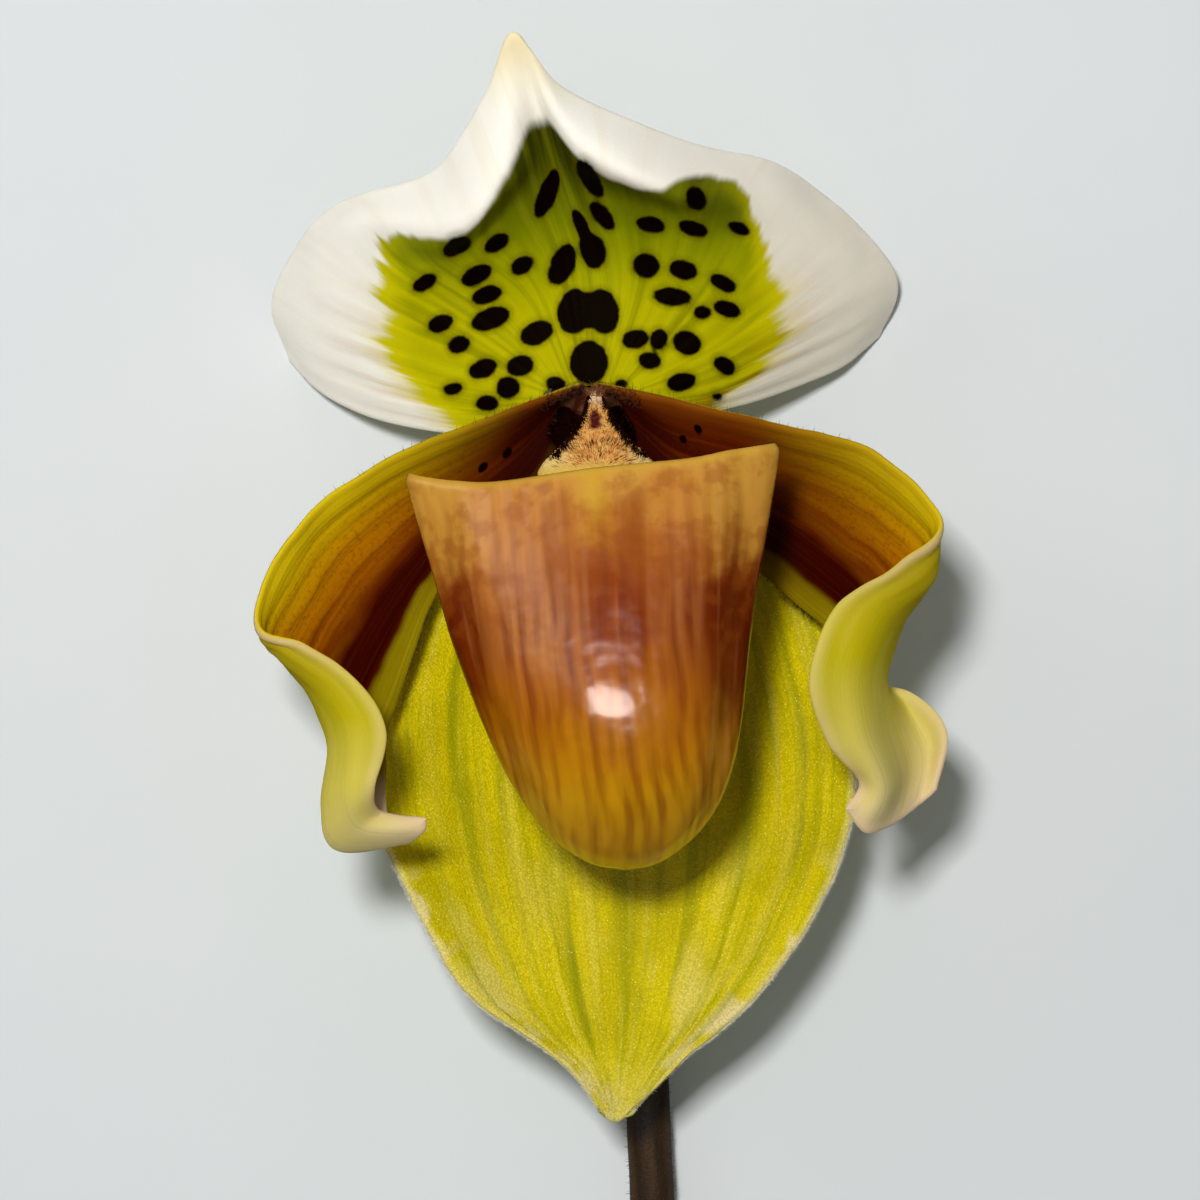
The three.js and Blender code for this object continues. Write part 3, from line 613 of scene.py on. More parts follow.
class Shader:
    """One material under construction. Colours are screen colours or Values."""

    def __init__(self, name, roughness, specular=0.5, tint=(255, 255, 255), subsurface=0.0,
                 sheen=0.0):
        self.material = bpy.data.materials.new(name)
        self.material.use_nodes = True
        self.tree = self.material.node_tree
        self.surface = self.tree.nodes["Principled BSDF"].inputs
        for key, value in (("Roughness", roughness), ("Specular IOR Level", specular),
                           ("Specular Tint", linear_light(tint)), ("Sheen Weight", sheen),
                           ("Subsurface Weight", subsurface),
                           ("Subsurface Radius", (1.0, 0.7, 0.3)),
                           ("Subsurface Scale", 0.8 * MILLIMETRE)):
            self.surface[key].default_value = value
        self.position = self.flower_position()

    def put(self, socket, value):
        if isinstance(value, Value):
            self.tree.links.new(value.socket, socket)
        else:
            socket.default_value = value

    def node(self, kind, inputs, output=0, **settings):
        """Adds a node and gives one of its outputs."""
        made = self.tree.nodes.new(kind)
        for key, value in settings.items():
            setattr(made, key, value)
        for key, value in inputs.items():
            self.put(made.inputs[key], value)
        return Value(self, made.outputs[output])

    def math(self, operation, a, b=0.0):
        return self.node("ShaderNodeMath", {0: a, 1: b}, operation=operation)

    def mix(self, share, a, b):
        """Colour a where the share is 0, and b where it is 1."""
        inputs = {0: share, 6: linear_light(a), 7: linear_light(b)}
        return self.node("ShaderNodeMix", inputs, 2, data_type="RGBA", clamp_factor=True)

    def layers(self, colour, layers):
        """A colour with others laid over it in turn, each after the share that it covers."""
        for share, over in layers:
            colour = self.mix(share, colour, over)
        return colour

    def split(self, vector):
        parts = self.tree.nodes.new("ShaderNodeSeparateXYZ")
        self.put(parts.inputs[0], vector)
        return [Value(self, socket) for socket in parts.outputs]

    def combine(self, x, y, z=0.0):
        return self.node("ShaderNodeCombineXYZ", {0: x, 1: y, 2: z})

    def uv(self, layer):
        """The two coordinates of a UV layer."""
        return self.split(self.node("ShaderNodeUVMap", {}, uv_map=layer))[:2]

    def flower_position(self):
        """The place in the flower's frame, in millimetres."""
        metres = self.node("ShaderNodeTexCoord", {}, output="Object")
        scaled = self.node("ShaderNodeVectorMath", {0: metres, "Scale": 1 / MILLIMETRE},
                           operation="SCALE")
        return self.node("ShaderNodeVectorMath", {0: scaled, 1: tuple(FLOWER_CENTRE)},
                         operation="SUBTRACT")

    def noise(self, scale, detail=2.0, vector=None):
        """Soft noise in the flower's frame, or along a vector of its own."""
        inputs = {"Vector": vector or self.position, "Scale": scale, "Detail": detail}
        return self.node("ShaderNodeTexNoise", inputs)

    def streaks(self, along, across, length, count, seed=0.0, detail=2.0):
        """Noise drawn out along an organ: so many waves along and across it."""
        return self.noise(1.0, detail, self.combine(along * length, across * count, seed))

    def ring_streaks(self, along, across, length, count, detail=2.0):
        """As streaks, for an organ that closes on itself."""
        angle = across * (2 * math.pi)
        radius = count / (2 * math.pi)
        x = self.math("COSINE", angle) * radius
        y = self.math("SINE", angle) * radius
        return self.noise(1.0, detail, self.combine(x, y, along * length))

    def ramp(self, value, stops):
        """A colour for a value: stops are pairs of a place and a colour."""
        made = self.tree.nodes.new("ShaderNodeValToRGB")
        self.put(made.inputs[0], value)
        elements = made.color_ramp.elements
        while len(elements) < len(stops):
            elements.new(0.5)
        for element, (place, colour) in zip(elements, stops):
            element.position = place
            element.color = linear_light(colour)
        return Value(self, made.outputs[0])

    def curve(self, value, points):
        """A number for a number, both 0 to 1, along a smooth line through the points."""
        made = self.tree.nodes.new("ShaderNodeFloatCurve")
        self.put(made.inputs["Value"], value)
        line = made.mapping.curves[0]
        line.points[0].location = points[0]
        line.points[1].location = points[-1]
        for place, height in points[1:-1]:
            line.points.new(place, height)
        made.mapping.update()
        return Value(self, made.outputs[0])

    def spots(self, softness=0.1):
        """1 inside the spots of the marks layer, 0 outside, and the distance to a spot."""
        ragged = 0.3
        distance, _ = self.uv("marks")
        moved = distance + (self.noise(1.1, 3.0) - 0.5) * ragged
        return moved.step(softness, -softness), moved

    def finish(self, colour, height=None, depth=0.0):
        """The material in a colour, with relief from a height of 0 to 1, so many mm deep."""
        self.put(self.surface["Base Color"], colour)
        if height is not None:
            inputs = {"Height": height, "Distance": depth * MILLIMETRE, "Strength": 1.0}
            self.put(self.surface["Normal"], self.node("ShaderNodeBump", inputs))
        return self.material


def dorsal_material():
    shader = Shader("dorsal_sepal", roughness=0.55, specular=0.02, tint=(255, 250, 190),
                    subsurface=0.1)
    along, across = shader.uv("place")
    side, edge = shader.uv("form")
    height = shader.split(shader.position)[1]
    away = abs(across - 0.5)

    # How far along the green of the middle reaches, for each place across.
    limit = shader.curve(across, [
        (0, 0.27), (0.04, 0.355), (0.07, 0.43), (0.12, 0.485), (0.16, 0.525), (0.2, 0.59),
        (0.235, 0.69), (0.27, 0.69), (0.3, 0.67), (0.35, 0.71), (0.4, 0.735), (0.45, 0.745),
        (0.5, 0.71), (0.55, 0.735), (0.6, 0.685), (0.63, 0.66), (0.66, 0.665), (0.69, 0.715),
        (0.735, 0.83), (0.765, 0.79), (0.785, 0.68), (0.81, 0.58), (0.85, 0.515), (0.92, 0.42),
        (0.95, 0.36), (1, 0.26)])

    # Its border is torn into teeth. Depth is how far inside it a place lies.
    rays = shader.streaks(along, across, 1.5, 46, seed=3.1)
    fine_rays = shader.streaks(along, across, 2.5, 130, seed=8.2, detail=1)
    ragged = away.step(0.22, 0.3) * 0.9 + 0.1
    teeth = (fine_rays * 0.5 + rays - 0.75) * 0.2 * ragged
    depth = limit + teeth - along
    inside = depth.step(-0.026, 0.03)

    vein = shader.streaks(along, across, 1.6, 60, seed=1.7, detail=3)
    broad = shader.streaks(along, across, 1.4, 18, seed=6.4)
    # The green darkens towards the top: partly the sepal's own deeper green, partly painted shade in
    # the deep fold under the crest and in the apex groove.
    climb = broad * 6.0 + height
    leafy = shader.ramp(climb.step(5, 32), [
        (0, (192, 184, 1)), (0.2, (186, 180, 1)), (0.38, (164, 166, 1)),
        (0.6, (128, 136, 2)), (0.8, (88, 94, 4)), (1, (50, 50, 8))])
    light_vein = shader.streaks(along, across, 1.2, 44, seed=4.9).step(0.48, 0.72)
    near_border = depth.step(0.13, 0.02) * away.step(0.22, 0.32)
    smoulder = across.step(0.86, 0.93) * vein.step(0.46, 0.6) * depth.step(0.2, 0.03)
    leafy = shader.layers(leafy, [
        (vein.step(0.42, 0.7) * 0.5, (112, 118, 1)),
        (light_vein * 0.14, (204, 202, 30)),
        (near_border * 0.85, (214, 202, 4)),
        (smoulder * 0.7, (136, 84, 3))])

    pale_vein = shader.streaks(along, across, 0.8, 60, seed=5.5).step(0.48, 0.75)
    pale = shader.mix(pale_vein * 0.35, (254, 248, 234), (242, 229, 205))
    low_sides = away.step(0.28, 0.46)
    # The right side takes a warmer, slightly darker cream: partly its own tone, partly painted shade
    # of the right lobe turned away from the light.
    right = across.step(0.6, 0.9)
    flush_vein = shader.streaks(along, across, 1.2, 100, seed=2.2).step(0.44, 0.68)
    flush = low_sides * depth.step(-0.3, -0.02) * flush_vein * 0.4
    haze = depth.step(-0.1, 0) * low_sides * 0.6
    top = height.step(27, 35)
    outer = edge.step(4, 0) * low_sides * 0.3
    pale = shader.layers(pale, [
        (right * 0.35, (250, 232, 200)),
        (flush, (212, 168, 120)),
        (haze, (226, 208, 90)),
        (top * 0.6, (240, 214, 130)),
        (outer, (230, 224, 212))])

    spot, distance = shader.spots(softness=0.16)
    front = shader.mix(inside, pale, leafy)
    halo = distance.step(0.7, 0) * 0.45
    front = shader.layers(front, [
        (halo, (104, 96, 1)),
        (spot, (9, 1, 0))])

    back_green = shader.mix(vein.step(0.45, 0.62), (176, 186, 70), (120, 140, 40))
    back = shader.mix(inside, pale, back_green)
    midrib = away.step(0.035, 0.01)
    back = shader.layers(back, [
        (midrib * inside, (96, 104, 34)),
        (spot * 0.35, (90, 60, 30))])

    cells = shader.noise(5, 3)
    relief = vein * 0.7 + cells * 0.35
    return shader.finish(shader.mix(side, back, front), spot * 0.6 + relief, 0.09)


def synsepal_material():
    shader = Shader("synsepal", roughness=0.45, specular=0.08, tint=(255, 240, 130),
                    subsurface=0.1)
    along, across = shader.uv("place")
    side, edge = shader.uv("form")

    wander = shader.noise(0.1)
    swung = wander * 0.02 + across
    patches = shader.noise(0.1, 3)
    front = shader.mix(patches.step(0.38, 0.62), (204, 186, 4), (226, 206, 8))
    broad = shader.streaks(along, swung, 2, 20, seed=6, detail=3)
    light = shader.streaks(along, swung, 2.6, 24, seed=15, detail=3).step(0.48, 0.7)
    fine = shader.streaks(along, swung, 3, 110, seed=3)
    weight = shader.streaks(along, across, 3, 7, seed=4)
    vein = (swung * 10).wave().step(0.2, 0) * weight.step(0.42, 0.66)
    pale_area = shader.streaks(along, across, 3.4, 5, seed=21, detail=3)
    pale_area = pale_area.step(0.5, 0.68) * along.step(0.4, 0.6)
    tip = along.step(0.76, 0.97)
    patch = shader.noise(0.16).step(0.5, 0.6)
    rim = edge.step(4.6, 0.8) * along.step(0.45, 0.6)
    cell = shader.node("ShaderNodeTexVoronoi", {"Vector": shader.position, "Scale": 4.2})
    # Painted glints: tiny bright spots in some cells stand in for the sparkle of light off the
    # tissue.
    painted_glints = shader.noise(4.2, 1).step(0.54, 0.66) * cell.step(0.36, 0.1)
    front = shader.layers(front, [
        (broad.step(0.46, 0.68) * 0.65, (146, 148, 3)),
        (light * 0.45, (228, 208, 74)),
        (fine.step(0.46, 0.74) * 0.35, (156, 152, 3)),
        (vein * along.step(0.92, 0.74) * 0.6, (110, 122, 2)),
        (pale_area * 0.55, (230, 212, 116)),
        (tip * 0.55, (222, 204, 84)),
        (rim * patch * 0.75, (240, 220, 168)),
        (edge.step(0.9, 0.1) * 0.6, (232, 216, 140)),
        (cell.step(0.32, 0.75) * 0.3, (132, 128, 1)),
        (painted_glints * 0.85, (255, 242, 130))])

    back = shader.mix(vein * 0.9, (190, 192, 84), (104, 122, 30))
    keel = abs(across - 0.5).step(0.05, 0.01)
    back = shader.mix(keel, back, (110, 120, 40))

    lumps = shader.noise(1.6)
    relief = cell * -0.5 + lumps * 0.5
    return shader.finish(shader.mix(side, back, front), vein * -0.3 + relief, 0.14)


def petal_material(name):
    shader = Shader(name, roughness=0.5, specular=0.01, tint=(255, 230, 160),
                    subsurface=0.06)
    along, across = shader.uv("place")
    side, edge = shader.uv("form")

    wander = shader.noise(0.16)
    streak = shader.streaks(along, across, 3, 14, seed=2, detail=3)
    moved = across + (wander - 0.5) * 0.1 + (streak - 0.5) * 0.05
    outer = shader.ramp(moved, [
        (0, (156, 138, 10)), (0.12, (136, 118, 4)), (0.16, (64, 10, 1)),
        (0.2, (50, 2, 1)), (0.33, (62, 7, 1)), (0.4, (122, 50, 1)),
        (0.52, (182, 108, 2)), (0.64, (192, 126, 3)), (0.75, (207, 158, 4)),
        (0.86, (217, 184, 8)), (1, (220, 192, 22))])
    # Darker copies of the colours near the base: partly the petal's own colour, partly painted shade
    # of the hollow base.
    inner = shader.ramp(moved, [
        (0, (118, 90, 4)), (0.1, (96, 66, 3)), (0.15, (44, 3, 1)),
        (0.4, (56, 5, 2)), (0.6, (74, 14, 2)), (0.8, (90, 28, 3)),
        (0.93, (114, 52, 5)), (1, (136, 76, 12))])
    front = shader.mix(along.step(*PETAL_BASE_TONE_AND_SHADE[name]), inner, outer)
    middle = moved.step(0.3, 0.44) * moved.step(0.95, 0.7)
    vein = shader.streaks(along, moved, 2.4, 15, seed=11, detail=3)
    glow = shader.streaks(along, moved, 4, 10, seed=31)
    glow = glow.step(0.5, 0.75) * middle * along.step(0.2, 0.5) * 0.3
    fine = shader.streaks(along, across, 3, 70, seed=7)
    pores = shader.noise(2.2)
    low_line = shader.streaks(along, across, 1, 90, seed=13).step(0.5, 0.66)
    # Near-black at the base along the upper margin beside the staminode: partly its own dark maroon,
    # partly painted shade of the hollow base.
    low_line = low_line * moved.step(0.15, 0.11)
    throat_tone_and_shade = along.step(0.16, 0.03) * moved.step(0.98, 0.7)
    spot, _ = shader.spots()
    lobe = shader.mix(edge.step(2.6, 0.6), (196, 188, 104), (236, 216, 184))
    front = shader.layers(front, [
        (vein.step(0.44, 0.7) * middle * 0.75, (108, 40, 1)),
        (glow, (204, 142, 14)),
        (fine.step(0.42, 0.8) * 0.22, (92, 44, 2)),
        (pores.step(0.5, 0.7) * middle * 0.3, (100, 36, 2)),
        (low_line * 0.55, (92, 84, 3)),
        (throat_tone_and_shade * 0.8, (42, 4, 3)),
        (spot, (16, 1, 1)),
        (along.step(0.72, 0.86), lobe)])

    back = shader.ramp(along, [
        (0, (164, 150, 28)), (0.42, (172, 148, 2)), (0.58, (174, 152, 3)),
        (0.7, (190, 174, 16)), (0.8, (206, 190, 78)), (0.9, (216, 198, 124)),
        (1, (224, 200, 156))])
    back_vein = shader.streaks(along, across, 1.5, 26, seed=5).step(0.46, 0.76)
    soft = shader.streaks(along, across, 3, 5, seed=9).step(0.45, 0.7)
    rim_tone = shader.ramp(along, [
        (0.36, (220, 182, 130)), (0.52, (216, 186, 128)), (0.64, (206, 190, 84)),
        (0.8, (216, 196, 116)), (1, (228, 198, 158))])
    rim = edge.step(1.7, 0.2) * along.step(0.36, 0.5) * 0.85
    back = shader.layers(back, [
        (back_vein * 0.3, (170, 158, 14)),
        (soft * 0.28, (222, 204, 84)),
        (rim, rim_tone)])

    cells = shader.noise(4, 3)
    relief = fine * 0.4 + vein * 0.4
    return shader.finish(shader.mix(side, back, front), cells * 0.4 + relief, 0.09)


def pouch_material():
    """A waxy skin: tan rim, red brown waist and ochre toe, with veins all the way down."""
    shader = Shader("pouch", roughness=0.23, specular=0.6, tint=(255, 240, 234))
    along, _ = shader.uv("place")
    side, edge = shader.uv("form")
    aside, _ = shader.uv("marks")

    def drawn_out(narrow, length, shift, detail):
        """Noise with so many waves to the mm across, and so many from rim to toe."""
        vector = shader.combine(aside * narrow, along * length, shift)
        return shader.noise(1.0, detail, vector)

    distance = abs(aside)
    mottle = shader.noise(0.3, 3)
    moved = (mottle - 0.5) * 0.15 + along
    tone = shader.ramp(moved, [
        (0, (208, 154, 62)), (0.05, (202, 140, 48)), (0.1, (188, 116, 34)),
        (0.15, (164, 84, 14)), (0.2, (144, 60, 3)), (0.26, (136, 52, 1)),
        (0.31, (162, 80, 3)), (0.37, (176, 98, 4)), (0.46, (186, 114, 3)),
        (0.6, (204, 146, 2)), (0.8, (204, 148, 2)), (1, (190, 138, 3))])

    ears = distance.step(6.5, 12.5) * moved.step(0.22, 0.1)
    # Lighter tan on the upper front's sides, stronger on the left: partly its own tan, partly painted
    # sheen of the light from the left.
    tan_and_sheen_left = aside.step(0, -5) * aside.step(-16, -10)
    tan_and_sheen_right = aside.step(3.5, 6.5) * aside.step(12, 8)
    tan_and_sheen = (tan_and_sheen_right * 0.5 + tan_and_sheen_left) * moved.step(0.44, 0.24) * 0.7
    # Dark maroon on the flanks, reaching nearer the middle on the right: partly the flanks' own
    # colour, partly painted shade where they turn from the light.
    flank_tone_and_shade = shader.math("MAXIMUM", aside.step(5, 15), aside.step(-10, -18))
    flank_tone_and_shade = flank_tone_and_shade * moved.step(0.13, 0.24) * moved.step(0.5, 0.34)
    arch = abs(distance - 3.6)
    arch = arch.step(2.2, 0.6) * moved.step(0.02, 0.07) * moved.step(0.26, 0.14)

    swing = shader.noise(0.1) * 3.0 + aside
    regular = (swing * (1 / VEIN_SPACING)).wave().step(0.4, 0.08)
    streak = drawn_out(0.7, 3, 0, 1.5)
    fine = drawn_out(1.8, 5, 4, 1)
    patchy = drawn_out(0.3, 4, 9, 2)
    dark_vein = streak.step(0.62, 0.38) * 0.45 + regular * 0.55
    dark_vein = (dark_vein + fine.step(0.6, 0.4) * 0.15) * patchy.step(0.28, 0.56)
    strength = shader.curve(along, [(0, 0.15), (0.08, 0.35), (0.2, 0.6), (0.36, 0.7),
                                    (0.5, 0.7), (0.8, 0.6), (1, 0.5)])
    brown = shader.ramp(along, [
        (0, (158, 88, 28)), (0.12, (136, 62, 14)), (0.24, (100, 26, 1)),
        (0.36, (122, 44, 1)), (0.5, (142, 74, 1)), (1, (136, 78, 1))])
    rear = distance.step(24, 38)
    veins = dark_vein * strength * (1 - rear)
    light_vein = streak.step(0.52, 0.7) * along.step(0.46, 0.2)
    cloud = shader.noise(0.42, 3).step(0.46, 0.64)
    blaze = distance.step(2.2, 0) * moved.step(0.16, 0.03)
    tone = shader.layers(tone, [
        (ears * 0.9, (204, 148, 54)),
        (tan_and_sheen, (198, 126, 54)),
        (flank_tone_and_shade * 0.9, (96, 26, 1)),
        (arch * 0.6, (150, 76, 16)),
        (veins, brown),
        (light_vein * 0.2, (208, 142, 82)),
        (cloud * along.step(0.4, 0.2) * 0.45, (150, 72, 14)),
        (blaze * 0.7, (210, 162, 46)),
        (edge.step(1.3, 0.3) * 0.6, (212, 166, 60)),
        (rear * 0.7, (186, 140, 50))])

    freckles = shader.noise(1.5, 1).step(0.6, 0.66)
    inner = shader.mix(freckles * 0.8, (206, 178, 92), (110, 40, 20))

    swell = drawn_out(0.6, 6, 0, 0)
    lumps = shader.noise(0.45, 1)
    return shader.finish(shader.mix(side, inner, tone), swell * 0.8 + lumps, 0.12)


def staminode_material():
    shader = Shader("staminode", roughness=0.4, specular=0.15, tint=(255, 235, 200),
                    subsurface=0.08)
    along, across = shader.uv("place")
    away = abs(across - 0.5)
    blotch = shader.noise(1.6, 3)
    tan = shader.mix(blotch.step(0.35, 0.65), (234, 174, 94), (214, 142, 64))
    lower = along.step(0.46, 0.64)
    tone = shader.mix(lower * away.step(0.16, 0.4), tan, (228, 196, 122))
    cream = along.step(0.2, 0.08) * along.step(0, 0.06)
    spot, _ = shader.spots(softness=0.25)
    tone = shader.layers(tone, [
        (along.step(0.62, 0.76), (216, 180, 84)),
        (cream * 0.7, (240, 214, 176)),
        (spot, (78, 3, 8))])
    return shader.finish(tone, shader.noise(3.2), 0.22)


def plain_material(name, main, other, roughness, scale, depth):
    """Living tissue in two tones that blend in soft patches, with a pebbled surface."""
    shader = Shader(name, roughness=roughness, specular=0.18)
    patches = shader.noise(scale, 4)
    return shader.finish(shader.mix(patches.step(0.35, 0.65), main, other),
                         shader.noise(scale * 5, 3), depth)


def ovary_material():
    shader = Shader("ovary", roughness=0.6, specular=0.04, sheen=0.04)
    along, across = shader.uv("place")
    rib = (across * 6).wave()
    patches = shader.noise(0.5, 4)
    valley = shader.mix(patches, (84, 52, 26), (60, 30, 20))
    ridge = shader.mix(patches, (126, 124, 44), (98, 82, 34))
    tone = shader.mix(rib.step(0.14, 0.4), ridge, valley)
    receptacle = along.step(0.16, 0.04)
    tone = shader.mix(receptacle * 0.9, tone, (66, 24, 12))
    return shader.finish(tone, shader.noise(3, 3), 0.15)


def bract_material():
    shader = Shader("bract", roughness=0.5, specular=0.18, subsurface=0.06)
    along, across = shader.uv("place")
    _, edge = shader.uv("form")
    vein = shader.streaks(along, across, 1.2, 34, seed=2, detail=3)
    tone = shader.mix(vein.step(0.45, 0.6), (146, 158, 60), (104, 122, 36))
    flecks = shader.noise(1.3).step(0.55, 0.62) * along.step(0.6, 0.1)
    tone = shader.layers(tone, [
        (flecks, (92, 30, 34)),
        (edge.step(0.5, 0.1), (186, 180, 112))])
    return shader.finish(tone, vein, 0.1)


def scape_material():
    shader = Shader("scape", roughness=0.6, specular=0.1, sheen=0.08)
    along, across = shader.uv("place")
    streak = shader.ring_streaks(along, across, 9, 9, detail=4)
    skin = shader.mix(streak.step(0.35, 0.65), (66, 44, 14), (42, 26, 8))
    green = shader.ring_streaks(along, across, 4, 3).step(0.48, 0.66)
    skin = shader.mix(green * 0.6, skin, (80, 66, 18))
    fibres = shader.noise(3.5).step(0.5, 0.6)
    pith = shader.mix(fibres, (190, 196, 120), (150, 156, 70))
    relief = streak * 0.6 + shader.noise(4)
    return shader.finish(shader.mix(along.step(1.08, 1.14), skin, pith), relief, 0.12)


def hair_material(name, light, dark, specular=0.2):
    """Hairs in two tones, with a soft shine."""
    shader = Shader(name, roughness=0.4, specular=specular)
    return shader.finish(shader.mix(shader.noise(2.0), light, dark))


# Pieces -------------------------------------------------------------------------------------


def dress(made, material, slot, *nodes):
    """Gives a piece its material, hangs it on the body and hides the imported solids it stands for.
    """
    made.data.materials.append(material)
    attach(made, BODY)
    if nodes:
        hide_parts(*nodes)


def veins(across, count, depth):
    """The relief of fine ridges that run the length of a blade."""
    return depth * np.cos(2 * math.pi * count * across)


def dorsal_relief(along, across, grid, edge):
    free = smooth_step(0.05, 0.3, along)
    ridges = veins(across, 30, 0.05) * free * smooth_step(0.95, 0.5, along)
    return ridges + 0.22 * free * noise_field(grid, 6.0, 4.3)


def synsepal_relief(along, across, grid, edge):
    free = smooth_step(0.03, 0.2, along)
    ridges = veins(across, 11, -0.04) * free * smooth_step(1.0, 0.85, along)
    margin = smooth_step(3.0, 0.0, edge) * noise_field(grid, 3.5, 9.1)
    return ridges + 0.3 * free * noise_field(grid, 8.0, 2.7) + 0.3 * margin * free


def petal_relief(along, across, grid, edge):
    free = smooth_step(0.05, 0.3, along)
    ridges = veins(across, 9, 0.05) * free * smooth_step(0.75, 0.5, along)
    margin = smooth_step(2.5, 0.0, edge) * noise_field(grid, 3.0, 1.9)
    return ridges + 0.2 * free * noise_field(grid, 6.0, 6.6) + 0.25 * margin * free


def bract_relief(along, across, grid, edge):
    return veins(across, 14, 0.04) + 0.1 * noise_field(grid, 4.0, 3.3)


def staminode_relief(along, across, grid, edge):
    return 0.12 * noise_field(grid, 1.1, 2.2) + 0.05 * noise_field(grid, 0.5, 7.7)


def ovary_relief(along, angle, grid):
    ribbed = smooth_step(0.12, 0.3, along) * smooth_step(1.0, 0.85, along)
    return 0.2 * ribbed * (np.cos(6 * angle) - 1)


def scape_relief(along, angle, grid):
    return 0.06 * noise_field(grid, 3.0, 1.1) - 0.05


def even_relief(along, angle, grid):
    return 0.04 * noise_field(grid, 0.8, 4.4) - 0.04


def pouch_loop(index, lean, half):
    """A level's whole loop, turned to one side, with the first levels raised at the ears."""
    fade = max(0, 1 - index / EAR_RISE_LEVELS)
    right = np.array(half, float)
    left = right[-2:0:-1] * [-1, 1, 1]
    loop = np.concatenate([right, left])
    aside = loop[:, 0].copy()
    share = smooth_step(0, EAR_RISE_REACH, np.abs(aside))
    loop[:, 0] += lean
    loop[:, 1] += EAR_RISE * fade * share * np.sign(aside)
    loop[:, 2] *= 1 + POUCH_TURN * aside / POUCH_DEPTH
    return loop


def make_pouch(rows, columns):
    """A bag of even wall, open at its rim and closed at its toe."""
    loops = [pouch_loop(index, *level) for index, level in enumerate(POUCH_LEVELS)]
    loops = np.array(loops + [[POUCH_TOE] * len(loops[0])])
    along = np.linspace(0, 1, rows)
    across = np.arange(columns) / columns
    outer = np.array([closed_spline(level, across) for level in spline(loops, along)])
    normals = grid_normals(outer, round_grid=True)
    normals[-1] = (0, -1, 0)
    edge = length_from_start(outer, 0)
    ring = length_from_start(np.concatenate([outer, outer[:, :1]], axis=1), 1)
    aside = ring[:, :-1] - np.where(across < 0.5, 0, ring[:, -1:])
    relief = 0.12 * noise_field(outer, 6.0, 8.8)
    fade = smooth_step(0, 3, edge) * smooth_step(1.0, 0.9, along)[:, None]
    outer = outer + normals * (relief * fade)[..., None]
    middle = outer - normals * POUCH_WALL / 2
    half = rounded_half(edge, POUCH_WALL)
    front = middle + normals * half
    back = middle - normals * half
    made = sheet_object("pouch_skin", front, back, along, across, edge, aside, round_grid=True)
    dress(made, pouch_material(), "pouch", "pouch")
    return Skin(front, normals, along, across)


def staminode_net():
    top, tip = np.array(STAMINODE_TOP), np.array(STAMINODE_TIP)
    facing = unit(np.array([0, tip[2] - top[2], top[1] - tip[1]]))
    net = []
    for index, half_width in enumerate(STAMINODE_HALF_WIDTHS):
        middle = top + (tip - top) * index / (len(STAMINODE_HALF_WIDTHS) - 1)
        row = []
        for share in (-1, -0.5, 0, 0.5, 1):
            aside = half_width * share
            drop = aside**2 / (2 * STAMINODE_DOME_RADIUS)
            row.append(middle - drop * facing + [aside, 0, 0])
        net.append(row)
    return net


def bract_net():
    samples = 201
    line = spline(np.array(OVARY, float)[:, :3], np.linspace(0, 1, samples))
    net = []
    for along, radius, wrap in BRACT:
        centre = line[np.argmax(line[:, 1] <= along)]
        net.append([(centre[0] + radius * math.sin(math.radians(share * wrap)), along,
                     centre[2] + radius * math.cos(math.radians(share * wrap)))
                    for share in BRACT_COLUMNS])
    return net


def make_column():
    """The column with its stigma and its two anthers, whose skins it gives for their hairs."""
    maroon = plain_material("column", (102, 46, 26), (64, 20, 12), roughness=0.45,
                            scale=0.8, depth=0.1)
    loft("column", "column", maroon, COLUMN, even_relief, rows=24, sides=32)
    pad = plain_material("stigma", (196, 196, 130), (170, 160, 90), roughness=0.5,
                         scale=1.2, depth=0.1)
    loft("stigma", "stigma", pad, STIGMA, even_relief, rows=30, sides=32)
    pollen = plain_material("anther", (74, 26, 16), (34, 8, 6), roughness=0.4,
                            scale=1.5, depth=0.12)
    anthers = {}
    for side, turn in (("left", -1), ("right", 1)):
        node = "anther_" + side
        sections = [[turn * section[0], *section[1:]] for section in ANTHER]
        anthers[side] = loft(node, "anther", pollen, sections, even_relief, rows=24, sides=24)
    return anthers


def scatter(skin, count, along, across):
    """Random places on an organ: the share along, the point and the normal of each."""
    along = RANDOM.uniform(*along, count)
    points, normals = on_front(skin, along, RANDOM.uniform(*across, count))
    return along, points, normals


def grow(name, slot, hair, points, lean, spread, lengths, radius, taper=1.0):
    """Hairs that stand at points, lean one way and spread, as one dressed piece."""
    directions = lean + RANDOM.normal(0, spread, (len(points), 3))
    lengths = RANDOM.uniform(*lengths, len(points)) * taper
    dress(hair_object(name, points, directions, lengths, radius), HAIRS[hair], slot)


